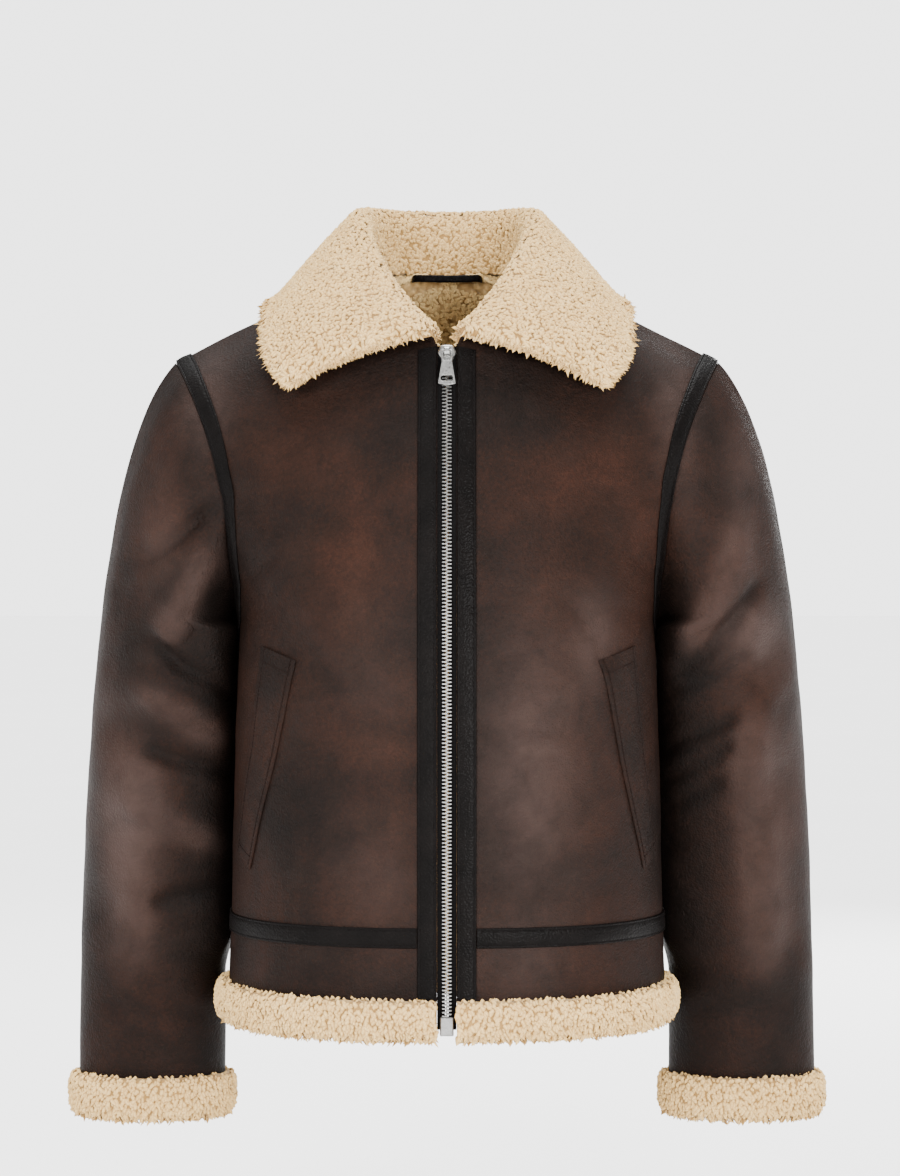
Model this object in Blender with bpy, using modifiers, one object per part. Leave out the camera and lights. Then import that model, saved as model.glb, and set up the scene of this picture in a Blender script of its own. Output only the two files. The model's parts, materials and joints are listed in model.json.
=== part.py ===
"""A shearling aviator jacket, zipped up and filled out as on a general figure, with nobody in it.

Sizes are in millimetres and become metres where the meshes are made. +X is the viewer's right, the
front faces -Y and +Z is up. The origin lies on the centre plane, level with the side neck points.
Leather and fleece are one bonded hide, so each panel is one wall with the leather outside.
"""

import math
from collections import namedtuple

import bmesh
import bpy
import numpy as np
from mathutils import Matrix, Vector
from mathutils.bvhtree import BVHTree

MM = 0.001

# Driving sizes
HIDE = 6.0  # leather and its fleece together
LEATHER = 1.5
TRIM = 1.4  # black leather strips
SEAM_GAP = 0.3
SKIN_GAP = 0.45  # between a panel and what lies on it
FRONT_EDGE = 8.0  # from the centre line to each front's edge
PLACKET_WIDTH = 16.0
TAPE_WIDTH = 16.5
TAPE_START = FRONT_EDGE + PLACKET_WIDTH + 0.5  # from the centre line to the hem tape
ARMHOLE_TAPE_WIDTH = 15.0
ARMHOLE_TAPE_GAPS = ((0.0, 1.0), (0.5, 1.4), (1.0, 1.5))  # share across, and space over the flat facets
TUCK_START, TUCK_TURN, TUCK_REACH = 0.8, 0.4, 9.0  # where the tape starts, further in sharp corners
STRIP_INSET = 0.4  # from a strip's edge to the edge or seam that it ends at
COLLAR_FLEECE = 10.0
COLLAR_EDGE_FLEECE = (9.0, 5.0)  # at the last two points of the leaf

# Heights along a panel, in mm from the leather's lower edge
HEM, BAND_SEAM, UNDERARM, FRONT_NECK, BACK_NECK, SHOULDER = 0.0, 51.5, 330.0, 530.0, 560.0, 600.0
BAND_ROWS = (0.0, 26.0, 51.5)
PANEL_ROWS = (51.5, 82, 115, 145, 175, 205, 235, 268, 300, 330, 355, 380, 405, 430, 455, 480, 505, 530, 545,
              560, 580, 600)
FRONT_COLUMNS, BACK_COLUMNS = 8, 8
TORSO_MIDDLE = (0.0, -25.0, -260.0)

# A row crosses a panel as one curve: its end at the centre (or neck), two handles, and its end at the
# side seam (or armhole). Points are x, y, z on the viewer's right half.
Row = namedtuple("Row", "v centre near_centre near_side side")
FRONT = (
    Row(0.0, (8, -167, -595), (120, -167, -595), (188, -109, -595), (188, -14, -595)),
    Row(51.5, (8, -168, -543.5), (119, -168, -543.5), (186, -110, -543.5), (186, -14, -543.5)),
    Row(145.0, (8, -170, -450), (119, -170, -450), (184, -112, -450), (184, -14, -450)),
    Row(250.0, (8, -170, -345), (118, -170, -345), (181, -112, -345), (181, -14, -345)),
    Row(330.0, (8, -165, -262), (116, -165, -266), (181, -104, -278), (179, 2, -292)),
    Row(400.0, (8, -154, -192), (106, -153, -198), (172, -110, -220), (185, -52, -240)),
    Row(460.0, (8, -137, -132), (98, -136, -140), (163, -108, -163), (191, -70, -180)),
    Row(510.0, (8, -118, -80), (88, -117, -92), (160, -92, -114), (204, -63, -130)),
    Row(530.0, (8, -111, -56), (86, -108, -72), (160, -82, -95), (211, -54, -112)),
    Row(560.0, (40, -88, -37), (98, -75, -47), (168, -55, -67), (224, -32, -84)),
    Row(600.0, (80, 10, 11), (130, 8, -9), (186, 3, -37), (236, 0, -63)),
)
BACK = (
    Row(0.0, (0, 118, -595), (118, 118, -595), (188, 80, -595), (188, -14, -595)),
    Row(51.5, (0, 117, -543.5), (117, 117, -543.5), (186, 79, -543.5), (186, -14, -543.5)),
    Row(145.0, (0, 114, -450), (116, 114, -450), (184, 78, -450), (184, -14, -450)),
    Row(250.0, (0, 112, -345), (114, 112, -345), (181, 76, -345), (181, -14, -345)),
    Row(330.0, (0, 118, -262), (115, 118, -265), (182, 96, -280), (179, 2, -292)),
    Row(400.0, (0, 126, -190), (110, 127, -198), (178, 118, -222), (191, 58, -242)),
    Row(460.0, (0, 129, -125), (108, 130, -132), (178, 118, -160), (204, 77, -182)),
    Row(510.0, (0, 124, -65), (105, 124, -75), (178, 106, -105), (216, 70, -130)),
    Row(530.0, (0, 114, -35), (103, 118, -50), (176, 98, -84), (221, 62, -112)),
    Row(560.0, (0, 88, 19), (100, 96, -10), (177, 74, -52), (229, 42, -88)),
    Row(600.0, (80, 10, 11), (130, 8, -9), (186, 3, -37), (236, 0, -63)),
)
# Points on the neck edges between the centre and the side neck point, where the edge turns
NECK_FRONT = ((530.0, (8, -111, -56)), (545.0, (33, -96, -44)), (560.0, (56, -72, -26)), (580.0, (74, -32, -4)),
              (600.0, (80, 10, 11)))
NECK_BACK = ((560.0, (0, 88, 19)), (580.0, (48, 76, 20)), (600.0, (80, 10, 11)))

# The wrist edge of the sleeve's leather, an oval, and how each long line of the sleeve leaves the
# armhole and reaches the wrist, on its inner, front, outer and back side
WRIST_CENTRE, WRIST_HALF_WIDTH, WRIST_HALF_DEPTH = (261.0, 48.0, -687.0), 64.5, 42.0
SLEEVE_ROWS = 15
SLEEVE_START = 0.012
Lead = namedtuple("Lead", "inner front outer back")
FROM_ARMHOLE = Lead((21, 6, -23), (44, -8, -62), (60, 0, -62), (46, 12, -60))
TO_WRIST = Lead((-2, -10, 227), (0, -33, 280), (-3, 0, 337), (0, 18, 280))

# The collar by station, from the centre back (0) to the front end (1): the top of its fold and the
# lower edge of its leaf, at the middle of its thickness
Station = namedtuple("Station", "s fold leaf_edge")
COLLAR = (
    Station(0.0, (0, 103, 73), (0, 117, -16)),
    Station(0.13, (36, 97, 73), (50, 116, -18)),
    Station(0.25, (65, 74, 72), (98, 104, -20)),
    Station(0.37, (77, 38, 66), (134, 70, -22)),
    Station(0.50, (75, 0, 46), (150, 24, -24)),
    Station(0.62, (65, -34, 22), (154, -20, -34)),
    Station(0.75, (51, -64, -3), (153, -58, -52)),
    Station(0.87, (33, -92, -28), (147, -88, -72)),
    Station(1.0, (12, -115, -50), (131, -112, -93)),
)
SIDE_NECK_STATION = 0.42
LEAF_BULGE = 7.2  # how far the leaf rises over a straight line at its middle
LEAF_CLEAR = 6.0  # between the leaf and the body under it, at the collar's own points
COLLAR_COLUMNS = 12
COLLAR_SEAT = 0.8  # from the body's neck edge to the collar's own
FOLD_SPREAD, FOLD_DROP = 3.4, 7.0  # from the top of the fold to where the stand and leaf turn flat
STAND_STEPS = (0.0, 0.35, 0.7)
LEAF_STEPS = (0.25, 0.45, 0.65, 0.85, 1.0)

# Fleece edges in section: how far out from the leather and how far below its edge
HEM_SECTION = ((-9, -0.4), (5, -0.4), (10.5, -5), (12.5, -13), (12, -23), (8, -31), (1, -34.5), (-7, -32),
               (-11, -24), (-11, -8))
CUFF_SECTION = ((-9, -0.4), (4, -0.4), (8.5, -5), (10, -14), (9.5, -27), (6, -35), (0, -39), (-8, -36),
                (-11, -27), (-11, -8))

# Zip
TAPE_INNER, TAPE_OUTER, TAPE_THICK = 4.5, 7.6, 1.0
CHAIN_HALF_WIDTH, CHAIN_THICK = 4.15, 3.4
CHAIN_DEPTH = 2.2  # its middle, behind the leather's face
ZIP_TOP, ZIP_BOTTOM = -73.5, -607.0  # the teeth, by height
ZIP_BENDS = (-95, -130, -165, -200, -235, -270, -330, -400, -470, -540)  # heights between those
HEM_Z = -595.0  # the height of the leather's lower edge
SLIDER_TOP = -58.0
SLIDER_LENGTH, SLIDER_TOP_HALF, SLIDER_FOOT_HALF = 15.0, 7.5, 5.2
SLIDER_FRONT, SLIDER_BACK = 4.0, 4.6  # before and behind the leather's face
PIVOT_OUT, PIVOT_DOWN = 5.9, 6.6  # the tab's pin, before the face and below the slider's top
CROWN_HALF_WIDTH, CROWN_LEG, CROWN_CLEAR = 2.4, 1.8, 1.9
TAB_THICK, TAB_LENGTH, TAB_REST = 2.0, 31.0, 3.0
BOX_HALF_WIDTH, BOX_TOP, BOX_BOTTOM, BOX_HALF_THICK = 5.6, -607.5, -623.0, 3.4

# Pocket welt on the right front: x and z of its corners as seen from the front
WELT_TOP_INNER, WELT_TOP_OUTER = (124.0, -319.0), (154.0, -307.0)
WELT_FOOT_INNER, WELT_FOOT_OUTER = (164.0, -494.0), (176.5, -481.0)
WELT_THICK, WELT_GAP = 2.4, 1.0

LOOP_HALF, LOOP_HEIGHT, LOOP_THICK, LOOP_STAND_OFF = 31.0, 7.0, 1.6, 7.5
LOOP_RISE, LOOP_CURVE = 2.5, 4.5  # its top over the neck edge, and how far its ends come forward
LOOP_SEAT = 0.3  # from the stand's fleece at the centre line to the loop's ends

# The largest folds. Each runs from one point to another, as x and z seen from the front, on the
# front (-1) or the back (+1) of the left (-1) or right (+1) half, and rises or sinks by its depth.
Fold = namedtuple("Fold", "half face x0 z0 x1 z1 width depth")
FOLDS = (
    Fold(1, -1, 222, -360, 300, -300, 20, -5),
    Fold(1, -1, 214, -395, 308, -345, 20, 4),
    Fold(1, -1, 206, -470, 300, -420, 22, -4),
    Fold(1, -1, 210, -590, 300, -570, 20, -3),
    Fold(-1, -1, 215, -215, 268, -265, 20, -4),
    Fold(-1, -1, 205, -330, 290, -350, 20, 4),
    Fold(-1, -1, 205, -385, 300, -375, 20, -4),
    Fold(-1, -1, 206, -470, 300, -430, 22, 3),
    Fold(-1, -1, 215, -580, 300, -540, 22, -3),
    Fold(1, 1, 210, -330, 300, -290, 22, -5),
    Fold(1, 1, 208, -400, 300, -380, 22, 4),
    Fold(1, 1, 208, -500, 300, -450, 24, -3),
    Fold(-1, 1, 210, -340, 300, -300, 22, -5),
    Fold(-1, 1, 208, -420, 300, -395, 22, 4),
    Fold(-1, 1, 208, -520, 300, -470, 24, -3),
    Fold(1, -1, 96, -250, 150, -300, 28, 4),
    Fold(1, -1, 60, -420, 140, -330, 34, 3),
    Fold(-1, -1, 70, -300, 150, -240, 30, 3),
    Fold(-1, -1, 60, -470, 120, -400, 34, -3),
    Fold(1, 1, 60, -160, 160, -210, 34, -4),
    Fold(-1, 1, 60, -160, 160, -210, 34, -4),
    Fold(1, 1, 30, -400, 150, -360, 36, 3),
    Fold(-1, 1, 40, -460, 150, -410, 36, 3),
)

LEATHER_BROWN = ((0.085, 0.042, 0.028), 0.48, 0.0)
TRIM_BLACK = ((0.020, 0.018, 0.018), 0.42, 0.0)
FLEECE_CREAM = ((0.74, 0.58, 0.37), 0.95, 0.0)
ZIP_CLOTH = ((0.018, 0.017, 0.018), 0.8, 0.0)
METAL = ((0.62, 0.61, 0.58), 0.3, 1.0)


# Curves and surfaces


def through(knots, values, at):
    """Values read from a smooth curve through a table's rows."""
    knots, values, at = np.asarray(knots, float), np.asarray(values, float), np.asarray(at, float)
    slope = np.gradient(values, knots, axis=0)
    i = np.clip(np.searchsorted(knots, at, side="right") - 1, 0, len(knots) - 2)
    span = (knots[i + 1] - knots[i])[:, None]
    t = ((at - knots[i])[:, None]) / span
    return (
        (2 * t**3 - 3 * t**2 + 1) * values[i]
        + (t**3 - 2 * t**2 + t) * span * slope[i]
        + (3 * t**2 - 2 * t**3) * values[i + 1]
        + (t**3 - t**2) * span * slope[i + 1]
    )


def through_corner(knots, values, at, corner):
    """The same, for an edge that turns sharply at one knot."""
    knots, values, at = np.asarray(knots, float), np.asarray(values, float), np.asarray(at, float)
    low, high = knots <= corner, knots >= corner
    below = through(knots[low], values[low], np.minimum(at, corner))
    above = through(knots[high], values[high], np.maximum(at, corner))
    return np.where((at <= corner)[:, None], below, above)


def bezier(a, b, c, d, t):
    return (1 - t) ** 3 * a + 3 * (1 - t) ** 2 * t * b + 3 * (1 - t) * t**2 * c + t**3 * d


def unit(vectors):
    vectors = np.asarray(vectors, float)
    return vectors / np.maximum(np.linalg.norm(vectors, axis=-1, keepdims=True), 1e-9)


def fold_height(points, outward):
    """How far the folds move the cloth at these points, given which way it faces."""
    total = np.zeros(points.shape[:-1])
    for fold in FOLDS:
        start = np.array((fold.half * fold.x0, fold.z0))
        along = np.array((fold.half * fold.x1, fold.z1)) - start
        length = np.linalg.norm(along)
        along = along / length
        offset = points[..., [0, 2]] - start
        run = offset @ along
        across = offset @ np.array((-along[1], along[0]))
        past = np.maximum(np.maximum(-run, run - length), 0.0)
        shape = np.exp(-((across / fold.width) ** 2) - (past / (1.4 * fold.width)) ** 2)
        facing = np.clip(fold.face * outward[..., 1], 0.0, 1.0)
        total += fold.depth * shape * facing
    return total


def smooth_panel(rows, neck, neck_corner, u, v, mirror):
    """A panel's surface without its folds, at u from centre to side and v from hem to shoulder."""
    v = np.asarray(v, float)
    knots = [row.v for row in rows]
    body = [row.v for row in rows if row.v < neck_corner]
    centre_knots = body + [knot for knot, _ in neck]
    centre_points = [row.centre for row in rows if row.v < neck_corner] + [point for _, point in neck]
    centre = through_corner(centre_knots, centre_points, v, neck_corner)
    side = through_corner(knots, [row.side for row in rows], v, UNDERARM)
    near_centre = through(knots, [row.near_centre for row in rows], v)
    near_side = through(knots, [row.near_side for row in rows], v)
    controls = (control[:, None] for control in (centre, near_centre, near_side, side))
    points = bezier(*controls, np.asarray(u)[None, :, None])
    points[..., 0] *= mirror
    return points


def front_surface(u, v, mirror):
    return smooth_panel(FRONT, NECK_FRONT, FRONT_NECK, u, v, mirror)


def back_surface(u, v, mirror):
    return smooth_panel(BACK, NECK_BACK, BACK_NECK, u, v, mirror)


def facing_of(surface, u, v, mirror):
    """Outward unit normals of a panel."""
    step_u, step_v = 1e-3, 0.5
    u, v = np.asarray(u, float), np.asarray(v, float)
    u0, u1 = np.clip(u - step_u, 0, 1), np.clip(u + step_u, 0, 1)
    v0, v1 = np.clip(v - step_v, HEM, SHOULDER), np.clip(v + step_v, HEM, SHOULDER)
    across = surface(u1, v, mirror) - surface(u0, v, mirror)
    up = surface(u, v1, mirror) - surface(u, v0, mirror)
    normal = unit(np.cross(across, up))
    points = surface(u, v, mirror)
    outward = ((points - np.array(TORSO_MIDDLE)) * normal).sum(-1, keepdims=True)
    return normal * np.where(outward < 0, -1.0, 1.0)


def panel_grid(surface, u, v, mirror):
    """Points with their folds, and outward normals."""
    normals = facing_of(surface, u, v, mirror)
    points = surface(u, v, mirror)
    on_centre = np.abs(points[..., 0]) < 1e-6
    normals[on_centre, 0] = 0.0
    normals = unit(normals)
    return points + normals * fold_height(points, normals)[..., None], normals


def mitre(first, second, thick, most=2.2):
    """Where two walls that meet on one edge have their common inner corner, from the edge."""
    both = first + second
    share = np.maximum(1 + (first * second).sum(-1, keepdims=True), 0.35)
    corner = -both / share * thick
    length = np.linalg.norm(corner, axis=-1, keepdims=True)
    return corner * np.minimum(1.0, most * thick / np.maximum(length, 1e-9))


# Meshes


def material(name, look):
    colour, roughness, metallic = look
    made = bpy.data.materials.new(name)
    made.use_nodes = True
    shader = made.node_tree.nodes["Principled BSDF"]
    shader.inputs["Base Color"].default_value = (*colour, 1.0)
    shader.inputs["Roughness"].default_value = roughness
    shader.inputs["Metallic"].default_value = metallic
    made.diffuse_color = (*colour, 1.0)
    return made


def add_object(name, mesh, look, place=None):
    mesh.materials.append(material(name, look))
    mesh.shade_smooth()
    mesh.set_sharp_from_angle(angle=math.radians(40))
    made = bpy.data.objects.new(name, mesh)
    if place is not None:
        made.matrix_world = place
    bpy.data.collections["Aviator jacket"].objects.link(made)
    return made


def grid_faces(rows, columns, closed=False):
    """Quads of a grid of points stored row by row; closed joins its last column to its first."""
    faces = []
    for i in range(rows - 1):
        for j in range(columns if closed else columns - 1):
            k = (j + 1) % columns
            faces.append((i * columns + j, i * columns + k, (i + 1) * columns + k, (i + 1) * columns + j))
    return faces


def triangles(faces):
    """Quads split from their lowest index, so that two sheets with one layout bend along the same lines."""
    split = []
    for face in faces:
        first = face.index(min(face))
        a, b, c, d = face[first:] + face[:first]
        split += [(a, b, c), (a, c, d)]
    return split


def outward_faces(points, normals, faces):
    """The same faces, wound so that they face along the given normals."""
    a, b, c = (points[faces[0][i]] for i in range(3))
    if np.cross(b - a, c - a) @ normals[faces[0][0]] < 0:
        return [face[::-1] for face in faces]
    return faces


def wall(name, outer, inward, faces, look):
    """A closed wall: an outer sheet, the same sheet moved by its inward vectors, and their rim."""
    outer, inward = outer.reshape(-1, 3), inward.reshape(-1, 3)
    faces = outward_faces(outer, -inward, faces)
    count = len(outer)
    points = np.concatenate([outer, outer + inward])
    faces = triangles(faces)
    edges = {(a, b) for face in faces for a, b in zip(face, face[1:] + face[:1])}
    rim = []
    for a, b in sorted(edges):
        if (b, a) in edges:
            continue
        inner_a, inner_b = a + count, b + count
        if np.linalg.norm(points[a] - points[inner_b]) < np.linalg.norm(points[b] - points[inner_a]):
            rim += [(b, a, inner_b), (a, inner_a, inner_b)]
        else:
            rim += [(b, a, inner_a), (b, inner_a, inner_b)]
    inner = [tuple(i + count for i in face[::-1]) for face in faces]
    mesh = bpy.data.meshes.new(name)
    mesh.from_pydata((points * MM).tolist(), [], faces + inner + rim)
    return add_object(name, mesh, look)


def joined_halves(left, right):
    """Two half grids as one sheet, with the points that they share on the centre line merged."""
    points = np.concatenate([left[0], right[0]])
    inward = np.concatenate([left[1], right[1]])
    faces = left[2] + [tuple(i + len(left[0]) for i in face) for face in right[2]]
    shared = {}
    new_index, kept = [], []
    for i, point in enumerate(points):
        on_centre = abs(point[0]) < 1e-6
        key = tuple(np.round(point, 4)) if on_centre else ("own", i)
        if key not in shared:
            shared[key] = len(kept)
            kept.append(i)
        new_index.append(shared[key])
    inward[np.abs(points[:, 0]) < 1e-6, 0] = 0.0
    return points[kept], inward[kept], [tuple(new_index[i] for i in face) for face in faces]


def strip(name, base, thickness, look):
    """A thin strip on a panel: an open sheet of points, thickened outward by a modifier."""
    points, normals = base
    rows, columns = points.shape[:2]
    flat, facing = points.reshape(-1, 3), normals.reshape(-1, 3)
    faces = outward_faces(flat, facing, grid_faces(rows, columns))
    mesh = bpy.data.meshes.new(name)
    mesh.from_pydata((flat * MM).tolist(), [], faces)
    made = add_object(name, mesh, look)
    solidify = made.modifiers.new("Thickness", "SOLIDIFY")
    solidify.thickness = thickness * MM
    solidify.offset = 1.0
    solidify.use_even_offset = True
    return made


# Torso


def armhole(mirror):
    """The armhole ring from the underarm up the front, over the shoulder and down the back, with the
    body's outward normals there."""
    rows = [v for v in PANEL_ROWS if v >= UNDERARM]
    front, front_out = panel_grid(front_surface, [1.0], rows, mirror)
    back, back_out = panel_grid(back_surface, [1.0], rows, mirror)
    ring = np.concatenate([front[:, 0], back[::-1, 0][1:-1]])
    normals = np.concatenate([front_out[:, 0], back_out[::-1, 0][1:-1]])
    normals[0] = unit(front_out[0, 0] + back_out[0, 0])
    top = len(rows) - 1
    normals[top] = unit(front_out[-1, 0] + back_out[-1, 0])
    return ring, normals


def half_torso(surface, columns, v, mirror, armhole_inward):
    """One half panel as points, inward vectors and faces, its seam edges drawn back by half a gap."""
    v = np.asarray(v, float)
    u = np.linspace(0.0, 1.0, columns + 1)
    points, normals = panel_grid(surface, u, v, mirror)
    inward = -normals * HIDE
    other = back_surface if surface is front_surface else front_surface
    other_side = panel_grid(other, [1.0], v, mirror)[1][:, 0]
    on_side = v <= UNDERARM
    inward[on_side, -1] = mitre(normals[on_side, -1], other_side[on_side], HIDE)
    if v[-1] >= SHOULDER:
        other_top = panel_grid(other, u, [SHOULDER], mirror)[1][0]
        inward[-1] = mitre(normals[-1], other_top, HIDE)
    for row, height in enumerate(v):
        if height in armhole_inward:
            inward[row, -1] = armhole_inward[height]
    points[:, -1] += unit(points[:, -2] - points[:, -1]) * SEAM_GAP / 2
    if v[-1] in (BAND_SEAM, SHOULDER):
        points[-1] += unit(points[-2] - points[-1]) * SEAM_GAP / 2
    if v[0] == BAND_SEAM:
        points[0] += unit(points[1] - points[0]) * SEAM_GAP / 2
    return points.reshape(-1, 3), inward.reshape(-1, 3), grid_faces(*points.shape[:2])


def armhole_corners(mirror):
    """Inner corners along the armhole, by height, for the front and for the back."""
    ring, body_out = armhole(mirror)
    corners = mitre(body_out, sleeve_start_normals(ring, mirror), HIDE)
    rows = [v for v in PANEL_ROWS if v >= UNDERARM]
    front = dict(zip(rows, corners[: len(rows)]))
    back_ring = np.concatenate([corners[len(rows) - 1:], corners[:1]])[::-1]
    back = dict(zip(rows, back_ring))
    return front, back


# Sleeves


def four_way(lead, angle):
    """A value around the sleeve from its inner, front, outer and back ones."""
    inner, front, outer, back = (np.asarray(value, float) for value in lead)
    mean = (inner + front + outer + back) / 4
    twice = (inner + outer - front - back) / 4
    angle = np.asarray(angle)[:, None]
    once = np.cos(angle) * (inner - outer) / 2 + np.sin(angle) * (front - back) / 2
    return mean + once + np.cos(2 * angle) * twice


def ring_angles(ring):
    """Angle of each ring point, 0 under the arm, a right angle at the front and half a turn on top."""
    half = len(ring) // 2
    closed = np.concatenate([ring, ring[:1]])
    steps = np.linalg.norm(np.diff(closed, axis=0), axis=1)
    front = np.concatenate([[0], np.cumsum(steps[:half])])
    back = np.concatenate([[0], np.cumsum(steps[half:])])
    return np.concatenate([math.pi * front / front[-1], math.pi + math.pi * back[1:-1] / back[-1]])


def smooth_sleeve(ring, t, mirror):
    """The sleeve's long lines at t from the armhole (0) to the wrist (1), without folds."""
    start = ring * np.array((mirror, 1, 1))
    angle = ring_angles(start)
    centre = np.array(WRIST_CENTRE)
    wrist = centre + np.stack([
        -WRIST_HALF_WIDTH * np.cos(angle), -WRIST_HALF_DEPTH * np.sin(angle), 0 * angle], axis=1)
    leave, reach = start + four_way(FROM_ARMHOLE, angle), wrist + four_way(TO_WRIST, angle)
    t = np.asarray(t, float)[:, None, None]
    points = bezier(start[None], leave[None], reach[None], wrist[None], t)
    points[..., 0] *= mirror
    return points


def sleeve_normals(ring, t, mirror):
    t = np.asarray(t, float)
    points = smooth_sleeve(ring, t, mirror)
    around = np.roll(points, -1, axis=1) - np.roll(points, 1, axis=1)
    below, above = (smooth_sleeve(ring, np.clip(t + step, 0, 1), mirror) for step in (0.01, -0.01))
    normal = unit(np.cross(around, below - above))
    middle = points.mean(axis=1, keepdims=True)
    outward = np.sign(((points - middle) * normal).sum(-1).sum(-1))
    return normal * outward[:, None, None]


def sleeve_start_normals(ring, mirror):
    """The sleeve's normals just past the armhole, where its lines have left the body."""
    return sleeve_normals(ring, [SLEEVE_START], mirror)[0]


def make_sleeve(name, mirror):
    ring, body_out = armhole(mirror)
    t = np.linspace(0.0, 1.0, SLEEVE_ROWS + 1)
    normals = sleeve_normals(ring, t, mirror)
    normals[0] = sleeve_start_normals(ring, mirror)
    points = smooth_sleeve(ring, t, mirror)
    fade = np.clip(t / 0.12, 0, 1)[:, None] * np.clip((1 - t) / 0.06, 0, 1)[:, None]
    points += normals * (fold_height(points, normals) * fade)[..., None]
    inward = -normals * HIDE
    inward[0] = mitre(body_out, normals[0], HIDE)
    away = unit(points[1] - points[0])
    points[0] += away * SEAM_GAP * 1.3
    faces = grid_faces(len(t), len(ring), closed=True)
    return wall(name, points, inward, faces, LEATHER_BROWN)


def wrist_ring(mirror):
    ring, _ = armhole(mirror)
    return smooth_sleeve(ring, [1.0], mirror)[0], sleeve_normals(ring, [1.0], mirror)[0]


# Fleece edges


def fleece_edge(name, path, outward, section, closed):
    """A rounded fleece band below a leather edge, its section set square to the edge at each point."""
    outward = unit(outward * np.array((1, 1, 0)))
    out, drop = np.array(section, float).T
    points = path[:, None] + outward[:, None] * out[None, :, None]
    points[..., 2] += drop
    stations, around = points.shape[:2]
    faces = grid_faces(stations, around, closed=True)
    if closed:
        last = stations - 1
        faces += [(last * around + j, last * around + (j + 1) % around, (j + 1) % around, j) for j in range(around)]
    else:
        faces += [tuple(range(around))[::-1], tuple(range((stations - 1) * around, stations * around))]
    mesh = bpy.data.meshes.new(name)
    mesh.from_pydata((points.reshape(-1, 3) * MM).tolist(), [], faces)
    turn_outward(mesh)
    return add_object(name, mesh, FLEECE_CREAM)


def turn_outward(mesh):
    """Winds a closed mesh so that it faces out."""
    mesh.calc_loop_triangles()
    points = np.array([vertex.co[:] for vertex in mesh.vertices])
    volume = sum(
        np.dot(points[a], np.cross(points[b], points[c]))
        for a, b, c in (triangle.vertices for triangle in mesh.loop_triangles)
    )
    if volume < 0:
        mesh.flip_normals()


def hem_path(surface, columns, mirror):
    """The leather's lower edge, from near the centre to just short of the side seam."""
    u = np.linspace(0.0, 1.0, columns + 1)
    points, normals = panel_grid(surface, u, [HEM], mirror)
    points, normals = points[0], normals[0]
    points[-1] += unit(points[-2] - points[-1]) * SEAM_GAP / 2
    normals[-1] = (mirror, 0, 0)
    return points, normals


# Strips on the panels


def u_at_x(v, x, mirror):
    """Where each row of the front crosses a plane of constant x."""
    low, high = np.zeros(len(v)), np.ones(len(v))
    for _ in range(30):
        middle = (low + high) / 2
        reached = np.array([front_surface([m], [h], mirror)[0, 0, 0] * mirror for m, h in zip(middle, v)])
        low, high = np.where(reached < x, middle, low), np.where(reached < x, high, middle)
    return (low + high) / 2


def lifted(points, normals, gap=SKIN_GAP):
    return points + normals * gap, normals


def front_points_at(pairs, mirror):
    """Points and normals of the front panel under x and z pairs seen from the front."""
    found, facing = [], []
    for x, z in pairs:
        uv = np.array((x / 190.0, z + 595.0))
        for _ in range(25):
            here = front_surface([uv[0]], [uv[1]], 1)[0, 0, [0, 2]]
            by_u = (front_surface([uv[0] + 1e-4], [uv[1]], 1)[0, 0, [0, 2]] - here) / 1e-4
            by_v = (front_surface([uv[0]], [uv[1] + 0.1], 1)[0, 0, [0, 2]] - here) / 0.1
            uv = uv + np.linalg.solve(np.stack([by_u, by_v], axis=1), np.array((x, z)) - here)
            uv[0] = min(max(uv[0], 0.0), 1.0)
        point, normal = panel_grid(front_surface, [uv[0]], [uv[1]], mirror)
        found.append(point[0, 0])
        facing.append(normal[0, 0])
    return np.array(found), np.array(facing)


def make_placket(name, mirror):
    v = np.array([row for row in BAND_ROWS[:-1] + PANEL_ROWS if row < FRONT_NECK] + [FRONT_NECK - 2])
    v[0] += 2.0
    inner = u_at_x(v, FRONT_EDGE + STRIP_INSET, mirror)
    outer = u_at_x(v, FRONT_EDGE + PLACKET_WIDTH, mirror)
    columns = []
    for share in (0.0, 1.0):
        u = inner + (outer - inner) * share
        pairs = [panel_grid(front_surface, [a], [b], mirror) for a, b in zip(u, v)]
        columns.append(([p[0][0, 0] for p in pairs], [p[1][0, 0] for p in pairs]))
    points = np.stack([np.array(c[0]) for c in columns], axis=1)
    normals = np.stack([np.array(c[1]) for c in columns], axis=1)
    return strip(name, lifted(points, normals), TRIM, TRIM_BLACK)


def make_hem_tape(name, surface, mirrors, columns, start_x):
    """The tape over the hem band's seam. The back's runs across both halves."""
    v = BAND_SEAM + np.array((-0.5, 0.0, 0.5)) * TAPE_WIDTH
    start = u_at_x(v[1:2], start_x, 1)[0] if start_x else 0.0
    u = np.concatenate([[start], np.linspace(0, 1, columns + 1)[1:]])
    grids = [panel_grid(surface, u, v, mirror) for mirror in mirrors]
    if len(grids) == 1:
        points, normals = grids[0]
    else:
        points = np.concatenate([grids[0][0][:, ::-1], grids[1][0][:, 1:]], axis=1)
        normals = np.concatenate([grids[0][1][:, ::-1], grids[1][1][:, 1:]], axis=1)
    side_columns = [-1] if len(grids) == 1 else [0, -1]
    for column in side_columns:
        neighbour = -2 if column == -1 else 1
        points[:, column] += unit(points[:, neighbour] - points[:, column]) * STRIP_INSET
    return strip(name, lifted(points, normals), TRIM, TRIM_BLACK)


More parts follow.
